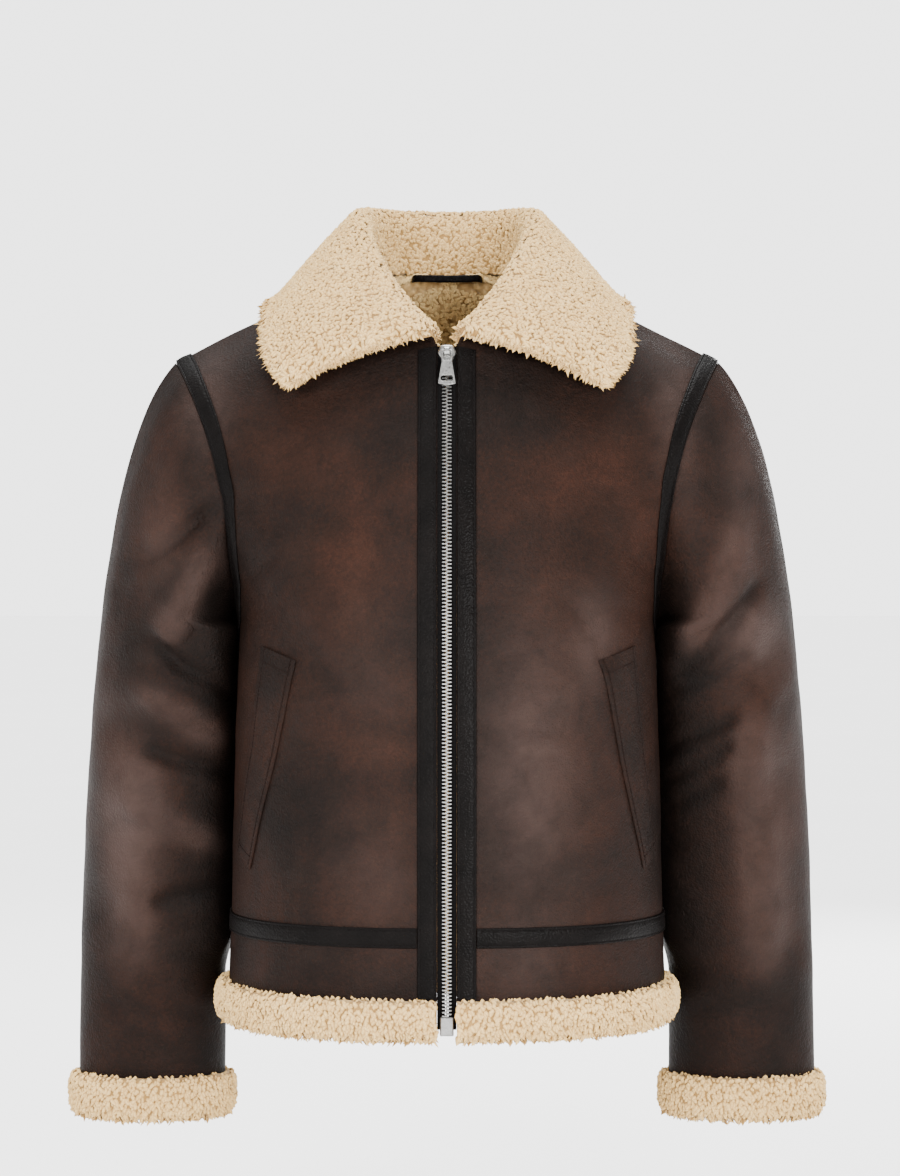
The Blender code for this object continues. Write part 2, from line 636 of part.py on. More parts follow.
def body_tree():
    """The torso's outer facets, for setting strips and the collar on them."""
    points, faces = [], []
    for surface, columns in ((front_surface, FRONT_COLUMNS), (back_surface, BACK_COLUMNS)):
        for mirror in (-1, 1):
            grid = panel_grid(surface, np.linspace(0, 1, columns + 1), PANEL_ROWS, mirror)[0]
            base = sum(len(p) for p in points)
            points.append(grid.reshape(-1, 3))
            faces += [tuple(i + base for i in cell) for cell in triangles(grid_faces(*grid.shape[:2]))]
    return BVHTree.FromPolygons(np.concatenate(points).tolist(), faces)


def make_armhole_tape(name, mirror, tree):
    """A closed band on the body along the armhole."""
    ring, body_out = armhole(mirror)
    tangent = unit(np.roll(ring, -1, axis=0) - np.roll(ring, 1, axis=0))
    sideways = unit(np.cross(body_out, tangent))
    middle = ring.mean(axis=0)
    sideways *= np.where(((ring - middle) * sideways).sum(1, keepdims=True) < 0, -1.0, 1.0)
    sleeve_out = sleeve_start_normals(ring, mirror)
    tucked = TUCK_START + TUCK_REACH * np.maximum(0.0, TUCK_TURN - (body_out * sleeve_out).sum(1))
    rows = []
    for share, gap in ARMHOLE_TAPE_GAPS:
        placed, facing = [], []
        for point, side, out, start in zip(ring, sideways, body_out, tucked):
            reach = start + share * ARMHOLE_TAPE_WIDTH
            near, normal, _, _ = tree.find_nearest(Vector(point + side * reach))
            normal = np.array(normal)
            normal *= 1.0 if normal @ out > 0 else -1.0
            blended = unit(normal + out)
            placed.append(np.array(near) + blended * gap)
            facing.append(blended)
        rows.append((np.array(placed), np.array(facing)))
    points = np.stack([row[0] for row in rows])
    outward = np.stack([row[1] for row in rows]) * TRIM
    faces = grid_faces(len(rows), len(ring), closed=True)
    return wall(name, points + outward, -outward, faces, TRIM_BLACK)


def make_welt(name, mirror):
    steps = np.linspace(0, 1, 7)
    inner = [np.array(WELT_TOP_INNER) * (1 - s) + np.array(WELT_FOOT_INNER) * s for s in steps]
    outer = [np.array(WELT_TOP_OUTER) * (1 - s) + np.array(WELT_FOOT_OUTER) * s for s in steps]
    columns = []
    for share in (0.0, 0.5, 1.0):
        pairs = [a * (1 - share) + b * share for a, b in zip(inner, outer)]
        columns.append(front_points_at(pairs, mirror))
    points = np.stack([c[0] for c in columns], axis=1)
    normals = np.stack([c[1] for c in columns], axis=1)
    return strip(name, lifted(points, normals, WELT_GAP), WELT_THICK, LEATHER_BROWN)


# Collar


def neck_edge(mirror):
    """The body's neck edge from the centre back to the front end, at the panels' own points."""
    back_rows = [v for v in PANEL_ROWS if v >= BACK_NECK]
    front_rows = [v for v in PANEL_ROWS if v >= FRONT_NECK]
    back, back_out = panel_grid(back_surface, [0.0], back_rows, mirror)
    front, front_out = panel_grid(front_surface, [0.0], front_rows, mirror)
    points = np.concatenate([back[:, 0], front[::-1, 0][1:]])
    normals = np.concatenate([back_out[:, 0], front_out[::-1, 0][1:]])
    side = len(back_rows) - 1
    normals[side] = unit(back_out[-1, 0] + front_out[-1, 0])
    lengths = np.concatenate([[0], np.cumsum(np.linalg.norm(np.diff(points, axis=0), axis=1))])
    at_side = lengths[side]
    stations = np.where(
        lengths <= at_side,
        SIDE_NECK_STATION * lengths / at_side,
        SIDE_NECK_STATION + (1 - SIDE_NECK_STATION) * (lengths - at_side) / (lengths[-1] - at_side),
    )
    return points, normals, stations


def collar_core(stations, mirror, tree):
    """The middle of the collar's thickness by station, up its stand, over the fold and down its leaf,
    with the unit normals of its fleece side."""
    neck, neck_out, neck_stations = neck_edge(mirror)
    flip = np.array((mirror, 1, 1))
    knots = [station.s for station in COLLAR]
    folds = through(knots, [station.fold for station in COLLAR], stations) * flip
    edges = through(knots, [station.leaf_edge for station in COLLAR], stations) * flip
    base = np.stack([np.interp(stations, neck_stations, neck[:, i]) for i in range(3)], axis=1)
    base_out = unit(np.stack([np.interp(stations, neck_stations, neck_out[:, i]) for i in range(3)], axis=1))
    centre = np.array((0.0, -10.0, 0.0))
    lines = []
    for point, out, top, edge in zip(base, base_out, folds, edges):
        height = np.linalg.norm(top - point)
        up = unit(top - point)
        outward = unit((top - centre) * np.array((1, 1, 0)))
        spread, drop = min(FOLD_SPREAD, 0.3 * height), min(FOLD_DROP, 0.3 * height)
        level = unit(out - up * (out @ up))
        start = point + up * COLLAR_SEAT - level * LEATHER
        stand_top = top - outward * spread - up * drop
        leaf = edge - top
        leaf_top = top + outward * spread + unit(leaf) * drop
        lift = unit(np.cross(np.cross(leaf, outward + np.array((0, 0, 1.0))), leaf))
        line = [start + (stand_top - start) * step for step in STAND_STEPS]
        line += [stand_top, top, leaf_top]
        for step in LEAF_STEPS:
            line.append(leaf_top + (edge - leaf_top) * step + lift * LEAF_BULGE * 4 * step * (1 - step))
        lines.append(line)
    core = np.array(lines)
    for column, row in np.ndindex(core.shape[:2]):
        if row < len(STAND_STEPS) + 3:
            continue
        point = core[column, row]
        near, normal, _, _ = tree.find_nearest(Vector(point))
        normal = np.array(normal)
        normal *= 1.0 if normal @ (np.array(near) - np.array((0, -10, -200.0))) > 0 else -1.0
        clear = (point - np.array(near)) @ normal
        needed = LEATHER + LEAF_CLEAR
        if clear < needed:
            core[column, row] = point + normal * (needed - clear)
    along = np.gradient(core, axis=0)
    down = np.gradient(core, axis=1)
    normals = unit(np.cross(along, down))
    middle = np.array((0.0, -10.0, 30.0))
    sample = normals[0, 0] @ (middle - core[0, 0])
    return core, normals * (1.0 if sample > 0 else -1.0)


def make_collar(tree):
    stations = collar_stations()
    upper, under = [], []
    for mirror in (-1, 1):
        core, normals = collar_core(stations, mirror, tree)
        normals[0, :, 0] = 0.0
        normals = unit(normals)
        core[0, :, 0] = 0.0
        rows = core.shape[1]
        thick = np.full(rows, COLLAR_FLEECE)
        thick[-2:] = COLLAR_EDGE_FLEECE
        faces = grid_faces(*core.shape[:2])
        outer = core + normals * (SEAM_GAP / 2 + thick[None, :, None])
        upper.append((outer.reshape(-1, 3), (-normals * thick[None, :, None]).reshape(-1, 3), faces))
        leather = core - normals * (SEAM_GAP / 2 + LEATHER)
        under.append((leather.reshape(-1, 3), (normals * LEATHER).reshape(-1, 3), faces))
    for name, halves, look in (("collar_upper", upper, FLEECE_CREAM), ("collar_under", under, LEATHER_BROWN)):
        left, right = halves
        left = (left[0], left[1], [face[::-1] for face in left[2]])
        wall(name, *joined_halves(left, right), look)


def collar_stations():
    """Stations at the body's neck points, with more between them, so that both edges share them."""
    own = neck_edge(1)[2]
    stations = []
    for a, b in zip(own, own[1:]):
        pieces = max(1, round((b - a) * COLLAR_COLUMNS))
        stations += [a + (b - a) * i / pieces for i in range(pieces)]
    return np.array(stations + [1.0])


# Zip


def centre_line(z, out):
    """A point of the zip's middle plane at a height, moved out from the leather's face."""
    v = np.interp(z, [row.centre[2] for row in FRONT], [row.v for row in FRONT])
    for _ in range(6):
        v -= front_surface([0.0], [v], 1)[0, 0, 2] - z
    v = min(v, FRONT_NECK)
    low = front_surface([0.0], [v - 2], 1)[0, 0]
    here = front_surface([0.0], [v], 1)[0, 0]
    up = unit((here - low) * np.array((0, 1, 1)))
    normal = np.array((0.0, -up[2], up[1]))
    point = here * np.array((0, 1, 1)) + normal * out
    return point, normal, up


def zip_heights(top, bottom):
    return [top, *(z for z in ZIP_BENDS if bottom < z < top), bottom]


def zip_bar(name, top, bottom, x_low, x_high, thickness, look):
    """A bar of oblong section down the zip, between two planes of constant x."""
    sections = []
    for z in zip_heights(top, bottom):
        below = max(z, HEM_Z)
        front, normal, _ = centre_line(below, -CHAIN_DEPTH + thickness / 2)
        back = front - normal * thickness
        drop = np.array((0, 0, min(0.0, z - HEM_Z)))
        sections.append([(x, *(point + drop)[1:]) for point, x in (
            (front, x_low), (front, x_high), (back, x_high), (back, x_low))])
    faces = grid_faces(len(sections), 4, closed=True)
    faces += [(3, 2, 1, 0), tuple(range(4 * len(sections) - 4, 4 * len(sections)))]
    mesh = bpy.data.meshes.new(name)
    mesh.from_pydata((np.array(sections).reshape(-1, 3) * MM).tolist(), [], faces)
    turn_outward(mesh)
    return add_object(name, mesh, look)


def zip_frame():
    """The slider's own axes: x across, y away from the viewer and z up the zip, from its top."""
    top, normal, up = centre_line(SLIDER_TOP, 0.0)
    return Matrix((
        (1, 0, 0, 0),
        (0, -normal[1], up[1], top[1] * MM),
        (0, -normal[2], up[2], top[2] * MM),
        (0, 0, 0, 1),
    ))


def extruded_outline(name, outlines, half_thick):
    """A flat plate from closed outlines in the curve's own plane; inner outlines cut holes."""
    curve = bpy.data.curves.new(name, "CURVE")
    curve.dimensions = "2D"
    curve.fill_mode = "BOTH"
    curve.extrude = half_thick * MM
    for outline in outlines:
        spline = curve.splines.new("POLY")
        spline.points.add(len(outline) - 1)
        for point, (x, y) in zip(spline.points, outline):
            point.co = (x * MM, y * MM, 0, 1)
        spline.use_cyclic_u = True
    made = bpy.data.objects.new(name, curve)
    bpy.context.scene.collection.objects.link(made)
    bpy.context.view_layer.update()
    graph = bpy.context.evaluated_depsgraph_get()
    mesh = bpy.data.meshes.new_from_object(made.evaluated_get(graph))
    bpy.data.objects.remove(made)
    bm = bmesh.new()
    bm.from_mesh(mesh)
    bmesh.ops.remove_doubles(bm, verts=bm.verts, dist=1e-6)
    bmesh.ops.recalc_face_normals(bm, faces=bm.faces)
    bm.to_mesh(mesh)
    bm.free()
    return mesh


def make_slider():
    """The slider's body, tapered towards its foot, with the bridge that the tab's pin runs under."""
    bm = bmesh.new()
    bmesh.ops.create_cube(bm, size=1.0)
    depth = SLIDER_FRONT + SLIDER_BACK
    for vertex in bm.verts:
        half = SLIDER_TOP_HALF if vertex.co.z > 0 else SLIDER_FOOT_HALF
        vertex.co.x = math.copysign(half, vertex.co.x) * MM
        vertex.co.y = (vertex.co.y * depth + (SLIDER_BACK - SLIDER_FRONT) / 2) * MM
        vertex.co.z = (vertex.co.z - 0.5) * SLIDER_LENGTH * MM
    mesh = bpy.data.meshes.new("zip_slider")
    bm.to_mesh(mesh)
    bm.free()
    slider = add_object("zip_slider", mesh, METAL, zip_frame())
    bevel = slider.modifiers.new("Rounded edges", "BEVEL")
    bevel.width = 1.2 * MM
    bevel.segments = 2
    reach = PIVOT_OUT + CROWN_CLEAR
    outer, inner = CROWN_CLEAR + CROWN_LEG, CROWN_CLEAR
    outline = [(-outer, SLIDER_FRONT - 1.0), (-outer, reach + 0.4), (-outer + 1.4, reach + CROWN_LEG),
               (outer - 1.4, reach + CROWN_LEG), (outer, reach + 0.4), (outer, SLIDER_FRONT - 1.0),
               (inner, SLIDER_FRONT - 1.0), (inner, reach), (-inner, reach), (-inner, SLIDER_FRONT - 1.0)]
    arch = bpy.data.objects.new("bridge", extruded_outline("bridge", [outline], CROWN_HALF_WIDTH))
    upright = Matrix(((0, 0, 1, 0), (0, -1, 0, 0), (1, 0, 0, -PIVOT_DOWN * MM), (0, 0, 0, 1)))
    arch.matrix_world = zip_frame() @ upright
    arch.hide_render = True
    arch.display_type = "WIRE"
    bpy.data.collections["Cutters"].objects.link(arch)
    join = slider.modifiers.new("Bridge", "BOOLEAN")
    join.operation = "UNION"
    join.object = arch


def tab_place():
    """The tab's frame at rest: its pin at the origin, hanging down against the slider."""
    tilt = Matrix.Rotation(math.radians(-TAB_REST), 4, "X")
    return zip_frame() @ Matrix.Translation((0, -PIVOT_OUT * MM, -PIVOT_DOWN * MM)) @ tilt


def make_tab():
    """The pull tab: a plate with a hole for the bridge at its top and a rounded slot near its end."""
    outline = [(-4.4, 1.1), (4.4, 1.1), (4.7, 0.2), (4.5, -6), (4.3, -9.5), (5.6, -18), (7.2, -28.4),
               (6.4, -29.6), (0, -TAB_LENGTH), (-6.4, -29.6), (-7.2, -28.4), (-5.6, -18), (-4.3, -9.5), (-4.5, -6),
               (-4.7, 0.2)]
    bridge_hole = [(-3.1, -1.1), (-3.1, -7.6), (-2.2, -8.4), (2.2, -8.4), (3.1, -7.6), (3.1, -1.1)]
    slot = [(-5.0, -25.9), (-3.8, -27.1), (3.8, -27.1), (5.0, -25.9), (5.0, -23.1), (3.8, -21.9), (-3.8, -21.9),
            (-5.0, -23.1)]
    mesh = extruded_outline("zip_pull_tab", [outline, bridge_hole, slot], TAB_THICK / 2)
    mesh.transform(Matrix.Rotation(math.pi / 2, 4, "X"))
    add_object("zip_pull_tab", mesh, METAL, tab_place())


def make_box():
    """The bottom box with its pin sleeve, round the ends of both tapes."""
    bm = bmesh.new()
    bmesh.ops.create_cube(bm, size=1.0)
    middle, _, _ = centre_line(HEM_Z, -CHAIN_DEPTH)
    for vertex in bm.verts:
        vertex.co.x *= 2 * BOX_HALF_WIDTH * MM
        vertex.co.y = (vertex.co.y * 2 * BOX_HALF_THICK + middle[1]) * MM
        vertex.co.z = (BOX_TOP if vertex.co.z > 0 else BOX_BOTTOM) * MM
    mesh = bpy.data.meshes.new("zip_box")
    bm.to_mesh(mesh)
    bm.free()
    box = add_object("zip_box", mesh, METAL)
    bevel = box.modifiers.new("Rounded edges", "BEVEL")
    bevel.width = 1.0 * MM
    bevel.segments = 2


def make_hanger_loop():
    """A leather strip across the inside of the back neck, held at its two ends."""
    steps = np.linspace(-1, 1, 9)
    back = NECK_BACK[0][1]
    wall_face = back[1] - LEATHER - COLLAR_FLEECE - LOOP_SEAT
    top = back[2] + LOOP_RISE
    points = []
    for step in steps:
        y = wall_face - LOOP_CURVE * step**2 - LOOP_STAND_OFF * (1 - step**4)
        points.append([(LOOP_HALF * step, y, top), (LOOP_HALF * step, y, top - LOOP_HEIGHT)])
    points = np.array(points)
    normals = np.zeros_like(points)
    normals[..., 1] = -1.0
    return strip("hanger_loop", (points, normals), LOOP_THICK, TRIM_BLACK)


# Assembly


def clear_scene():
    for existing in list(bpy.data.objects):
        bpy.data.objects.remove(existing, do_unlink=True)
    for name in ("Aviator jacket", "Cutters"):
        made = bpy.data.collections.new(name)
        bpy.context.scene.collection.children.link(made)
    bpy.data.collections["Cutters"].hide_render = True


def make_torso():
    halves = {}
    for side, mirror in (("left", -1), ("right", 1)):
        front_corners, back_corners = armhole_corners(mirror)
        points, inward, faces = half_torso(front_surface, FRONT_COLUMNS, PANEL_ROWS, mirror, front_corners)
        wall(f"front_{side}", points, inward, faces, LEATHER_BROWN)
        points, inward, faces = half_torso(front_surface, FRONT_COLUMNS, BAND_ROWS, mirror, {})
        wall(f"hem_band_front_{side}", points, inward, faces, LEATHER_BROWN)
        halves[side] = (
            half_torso(back_surface, BACK_COLUMNS, PANEL_ROWS, mirror, back_corners),
            half_torso(back_surface, BACK_COLUMNS, BAND_ROWS, mirror, {}),
        )
    for index, name in enumerate(("back_body", "hem_band_back")):
        left, right = halves["left"][index], halves["right"][index]
        left = (left[0], left[1], [face[::-1] for face in left[2]])
        wall(name, *joined_halves(left, right), LEATHER_BROWN)


def make_hem_fleece():
    for side, mirror in (("left", -1), ("right", 1)):
        points, normals = hem_path(front_surface, FRONT_COLUMNS, mirror)
        points[0, 0] = mirror * (FRONT_EDGE + 0.7)
        normals[0] = (0, -1, 0)
        fleece_edge(f"hem_fleece_front_{side}", points, normals, HEM_SECTION, closed=False)
    left, left_out = hem_path(back_surface, BACK_COLUMNS, -1)
    right, right_out = hem_path(back_surface, BACK_COLUMNS, 1)
    path = np.concatenate([left[::-1], right[1:]])
    outward = np.concatenate([left_out[::-1], right_out[1:]])
    fleece_edge("hem_fleece_back", path, outward, HEM_SECTION, closed=False)


def main():
    clear_scene()
    make_torso()
    tree = body_tree()
    for side, mirror in (("left", -1), ("right", 1)):
        make_sleeve(f"sleeve_{side}", mirror)
        path, outward = wrist_ring(mirror)
        fleece_edge(f"cuff_fleece_{side}", path, outward, CUFF_SECTION, closed=True)
        make_armhole_tape(f"armhole_tape_{side}", mirror, tree)
        make_placket(f"placket_{side}", mirror)
        make_hem_tape(f"hem_tape_front_{side}", front_surface, [mirror], FRONT_COLUMNS, TAPE_START)
        make_welt(f"pocket_welt_{side}", mirror)
        low, high = sorted((mirror * TAPE_INNER, mirror * TAPE_OUTER))
        zip_bar(f"zip_tape_{side}", ZIP_TOP, ZIP_BOTTOM, low, high, TAPE_THICK, ZIP_CLOTH)
    make_hem_tape("hem_tape_back", back_surface, [-1, 1], BACK_COLUMNS, 0.0)
    make_hem_fleece()
    make_collar(tree)
    zip_bar("zip_chain", ZIP_TOP, ZIP_BOTTOM, -CHAIN_HALF_WIDTH, CHAIN_HALF_WIDTH, CHAIN_THICK, METAL)
    make_slider()
    make_tab()
    make_box()
    make_hanger_loop()


main()
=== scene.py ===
"""The looks of a shearling aviator jacket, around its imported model.

Sizes are in millimetres in the model's own frame and become metres where the meshes are made: +X is
the viewer's right, the front faces -Y, +Z is up, and the origin is between the side neck points.
"""

import json
import math
from collections import namedtuple

import bmesh
import bpy
import numpy as np
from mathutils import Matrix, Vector
from mathutils.bvhtree import BVHTree

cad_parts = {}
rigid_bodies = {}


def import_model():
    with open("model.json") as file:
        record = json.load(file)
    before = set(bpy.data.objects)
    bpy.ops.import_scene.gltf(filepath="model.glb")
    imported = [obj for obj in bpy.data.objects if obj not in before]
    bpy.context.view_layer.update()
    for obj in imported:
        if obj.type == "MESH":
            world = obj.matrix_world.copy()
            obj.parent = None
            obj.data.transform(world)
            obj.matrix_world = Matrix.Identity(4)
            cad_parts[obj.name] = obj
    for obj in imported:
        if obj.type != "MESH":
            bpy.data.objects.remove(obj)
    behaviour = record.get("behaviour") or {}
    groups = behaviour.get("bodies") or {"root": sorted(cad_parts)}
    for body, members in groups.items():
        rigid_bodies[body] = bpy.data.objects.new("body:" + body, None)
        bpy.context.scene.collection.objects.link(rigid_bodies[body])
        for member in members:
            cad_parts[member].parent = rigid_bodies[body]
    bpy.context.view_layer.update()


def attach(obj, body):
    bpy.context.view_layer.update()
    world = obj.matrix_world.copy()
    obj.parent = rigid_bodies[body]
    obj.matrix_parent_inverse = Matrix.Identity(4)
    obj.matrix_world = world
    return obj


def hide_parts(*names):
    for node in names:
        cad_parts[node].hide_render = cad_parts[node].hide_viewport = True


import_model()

MM = 0.001
GARMENT = "garment"
RNG = np.random.default_rng(11)

# Driving sizes
HIDE = 6.0  # leather and its fleece together
LEATHER = 1.5
TRIM = 1.4  # black leather strips
SEAM_GAP = 0.3
SKIN_GAP = 0.45  # between a panel and what lies on it
FRONT_EDGE = 8.0  # from the centre line to each front's edge
PLACKET_WIDTH = 16.0
TAPE_WIDTH = 16.5
ARMHOLE_TAPE_WIDTH = 15.0
COLLAR_FLEECE = 10.0

# Heights along a panel, in mm from the leather's lower edge
HEM, BAND_SEAM, UNDERARM, FRONT_NECK, BACK_NECK, SHOULDER = 0.0, 51.5, 330.0, 530.0, 560.0, 600.0
BAND_ROWS = (0.0, 26.0, 51.5)
PANEL_ROWS = (51.5, 82, 115, 145, 175, 205, 235, 268, 300, 330, 355, 380, 405, 430, 455, 480, 505, 530, 545,
              560, 580, 600)
FRONT_COLUMNS, BACK_COLUMNS = 8, 8

# A row crosses a panel as one curve: its end at the centre (or neck), two handles, and its end at the
# side seam (or armhole). Points are x, y, z on the viewer's right half.
Row = namedtuple("Row", "v centre near_centre near_side side")
FRONT = (
    Row(0.0, (8, -167, -595), (120, -167, -595), (188, -109, -595), (188, -14, -595)),
    Row(51.5, (8, -168, -543.5), (119, -168, -543.5), (186, -110, -543.5), (186, -14, -543.5)),
    Row(145.0, (8, -170, -450), (119, -170, -450), (184, -112, -450), (184, -14, -450)),
    Row(250.0, (8, -170, -345), (118, -170, -345), (181, -112, -345), (181, -14, -345)),
    Row(330.0, (8, -165, -262), (116, -165, -266), (181, -104, -278), (179, 2, -292)),
    Row(400.0, (8, -154, -192), (106, -153, -198), (172, -110, -220), (185, -52, -240)),
    Row(460.0, (8, -137, -132), (98, -136, -140), (163, -108, -163), (191, -70, -180)),
    Row(510.0, (8, -118, -80), (88, -117, -92), (160, -92, -114), (204, -63, -130)),
    Row(530.0, (8, -111, -56), (86, -108, -72), (160, -82, -95), (211, -54, -112)),
    Row(560.0, (40, -88, -37), (98, -75, -47), (168, -55, -67), (224, -32, -84)),
    Row(600.0, (80, 10, 11), (130, 8, -9), (186, 3, -37), (236, 0, -63)),
)
BACK = (
    Row(0.0, (0, 118, -595), (118, 118, -595), (188, 80, -595), (188, -14, -595)),
    Row(51.5, (0, 117, -543.5), (117, 117, -543.5), (186, 79, -543.5), (186, -14, -543.5)),
    Row(145.0, (0, 114, -450), (116, 114, -450), (184, 78, -450), (184, -14, -450)),
    Row(250.0, (0, 112, -345), (114, 112, -345), (181, 76, -345), (181, -14, -345)),
    Row(330.0, (0, 118, -262), (115, 118, -265), (182, 96, -280), (179, 2, -292)),
    Row(400.0, (0, 126, -190), (110, 127, -198), (178, 118, -222), (191, 58, -242)),
    Row(460.0, (0, 129, -125), (108, 130, -132), (178, 118, -160), (204, 77, -182)),
    Row(510.0, (0, 124, -65), (105, 124, -75), (178, 106, -105), (216, 70, -130)),
    Row(530.0, (0, 114, -35), (103, 118, -50), (176, 98, -84), (221, 62, -112)),
    Row(560.0, (0, 88, 19), (100, 96, -10), (177, 74, -52), (229, 42, -88)),
    Row(600.0, (80, 10, 11), (130, 8, -9), (186, 3, -37), (236, 0, -63)),
)
# Points on the neck edges between the centre and the side neck point, where the edge turns
NECK_FRONT = ((530.0, (8, -111, -56)), (545.0, (33, -96, -44)), (560.0, (56, -72, -26)), (580.0, (74, -32, -4)),
              (600.0, (80, 10, 11)))
NECK_BACK = ((560.0, (0, 88, 19)), (580.0, (48, 76, 20)), (600.0, (80, 10, 11)))

# The wrist edge of the sleeve's leather, an oval, and how each long line of the sleeve leaves the
# armhole and reaches the wrist, on its inner, front, outer and back side
WRIST_CENTRE, WRIST_HALF_WIDTH, WRIST_HALF_DEPTH = (261.0, 48.0, -687.0), 64.5, 42.0
SLEEVE_ROWS = 15
Lead = namedtuple("Lead", "inner front outer back")
FROM_ARMHOLE = Lead((21, 6, -23), (44, -8, -62), (60, 0, -62), (46, 12, -60))
TO_WRIST = Lead((-2, -10, 227), (0, -33, 280), (-3, 0, 337), (0, 18, 280))

# The collar by station, from the centre back (0) to the front end (1): the top of its fold and the
# lower edge of its leaf, at the middle of its thickness
Station = namedtuple("Station", "s fold leaf_edge")
COLLAR = (
    Station(0.0, (0, 103, 73), (0, 117, -16)),
    Station(0.13, (36, 97, 73), (50, 116, -18)),
    Station(0.25, (65, 74, 72), (98, 104, -20)),
    Station(0.37, (77, 38, 66), (134, 70, -22)),
    Station(0.50, (75, 0, 46), (150, 24, -24)),
    Station(0.62, (65, -34, 22), (154, -20, -34)),
    Station(0.75, (51, -64, -3), (153, -58, -52)),
    Station(0.87, (33, -92, -28), (147, -88, -72)),
    Station(1.0, (12, -115, -50), (131, -112, -93)),
)
SIDE_NECK_STATION = 0.42
LEAF_BULGE = 8.0
LEAF_CLEAR = 6.0  # between the leaf and the body under it, at the collar's own points
COLLAR_COLUMNS = 12
STAND_STEPS = (0.0, 0.35, 0.7)
LEAF_STEPS = (0.08, 0.25, 0.45, 0.65, 0.85, 1.0)

# Fleece edges in section: how far out from the leather and how far below its edge
HEM_SECTION = ((-9, -0.4), (5, -0.4), (10.5, -5), (12.5, -13), (12, -23), (8, -31), (1, -34.5), (-7, -32),
               (-11, -24), (-11, -8))
CUFF_SECTION = ((-9, -0.4), (4, -0.4), (8.5, -5), (10, -14), (9.5, -27), (6, -35), (0, -39), (-8, -36),
                (-11, -27), (-11, -8))

# Zip
TAPE_INNER, TAPE_OUTER, TAPE_THICK = 4.5, 7.6, 1.0
CHAIN_HALF_WIDTH, CHAIN_THICK = 4.15, 3.4
CHAIN_DEPTH = 2.2  # its middle, behind the leather's face
ZIP_TOP, ZIP_BOTTOM = -73.5, -607.0  # the teeth, by height
TAPE_BOTTOM = -622.0
SLIDER_TOP = -58.0
SLIDER_LENGTH, SLIDER_TOP_HALF, SLIDER_FOOT_HALF = 15.0, 7.5, 5.2
SLIDER_FRONT, SLIDER_BACK = 4.0, 4.6  # before and behind the leather's face
PIVOT_OUT, PIVOT_DOWN = 5.9, 6.6  # the tab's pin, before the face and below the slider's top
CROWN_HALF_WIDTH, CROWN_LEG, CROWN_CLEAR = 2.4, 1.8, 1.9
TAB_THICK, TAB_LENGTH, TAB_REST = 2.0, 31.0, 3.0
BOX_HALF_WIDTH, BOX_TOP, BOX_BOTTOM, BOX_HALF_THICK = 5.6, -607.5, -623.0, 3.4

# Pocket welt on the right front: x and z of its corners as seen from the front
WELT_TOP_INNER, WELT_TOP_OUTER = (124.0, -319.0), (154.0, -307.0)
WELT_FOOT_INNER, WELT_FOOT_OUTER = (164.0, -494.0), (176.5, -481.0)
WELT_THICK = 2.4

LOOP_HALF, LOOP_HEIGHT, LOOP_THICK, LOOP_STAND_OFF = 31.0, 7.0, 1.6, 7.5
LOOP_RISE, LOOP_CURVE = 2.5, 4.5  # its top over the neck edge, and how far its ends come forward
LOOP_SEAT = 0.3  # from the stand's fleece at the centre line to the loop's ends

# The largest folds. Each runs from one point to another, as x and z seen from the front, on the
# front (-1) or the back (+1) of the left (-1) or right (+1) half, and rises or sinks by its depth.
Fold = namedtuple("Fold", "half face x0 z0 x1 z1 width depth")
FOLDS = (
    Fold(1, -1, 222, -360, 300, -300, 20, -5),
    Fold(1, -1, 214, -395, 308, -345, 20, 4),
    Fold(1, -1, 206, -470, 300, -420, 22, -4),
    Fold(1, -1, 210, -590, 300, -570, 20, -3),
    Fold(-1, -1, 215, -215, 268, -265, 20, -4),
    Fold(-1, -1, 205, -330, 290, -350, 20, 4),
    Fold(-1, -1, 205, -385, 300, -375, 20, -4),
    Fold(-1, -1, 206, -470, 300, -430, 22, 3),
    Fold(-1, -1, 215, -580, 300, -540, 22, -3),
    Fold(1, 1, 210, -330, 300, -290, 22, -5),
    Fold(1, 1, 208, -400, 300, -380, 22, 4),
    Fold(1, 1, 208, -500, 300, -450, 24, -3),
    Fold(-1, 1, 210, -340, 300, -300, 22, -5),
    Fold(-1, 1, 208, -420, 300, -395, 22, 4),
    Fold(-1, 1, 208, -520, 300, -470, 24, -3),
    Fold(1, -1, 96, -250, 150, -300, 28, 4),
    Fold(1, -1, 60, -420, 140, -330, 34, 3),
    Fold(-1, -1, 70, -300, 150, -240, 30, 3),
    Fold(-1, -1, 60, -470, 120, -400, 34, -3),
    Fold(1, 1, 60, -160, 160, -210, 34, -4),
    Fold(-1, 1, 60, -160, 160, -210, 34, -4),
    Fold(1, 1, 30, -400, 150, -360, 36, 3),
    Fold(-1, 1, 40, -460, 150, -410, 36, 3),
)



# Curves and surfaces


def through(knots, values, at):
    """Values read from a smooth curve through a table's rows."""
    knots, values, at = np.asarray(knots, float), np.asarray(values, float), np.asarray(at, float)
    slope = np.gradient(values, knots, axis=0)
    i = np.clip(np.searchsorted(knots, at, side="right") - 1, 0, len(knots) - 2)
    span = (knots[i + 1] - knots[i])[:, None]
    t = ((at - knots[i])[:, None]) / span
    return (
        (2 * t**3 - 3 * t**2 + 1) * values[i]
        + (t**3 - 2 * t**2 + t) * span * slope[i]
        + (3 * t**2 - 2 * t**3) * values[i + 1]
        + (t**3 - t**2) * span * slope[i + 1]
    )


def through_corner(knots, values, at, corner):
    """The same, for an edge that turns sharply at one knot."""
    knots, values, at = np.asarray(knots, float), np.asarray(values, float), np.asarray(at, float)
    low, high = knots <= corner, knots >= corner
    below = through(knots[low], values[low], np.minimum(at, corner))
    above = through(knots[high], values[high], np.maximum(at, corner))
    return np.where((at <= corner)[:, None], below, above)


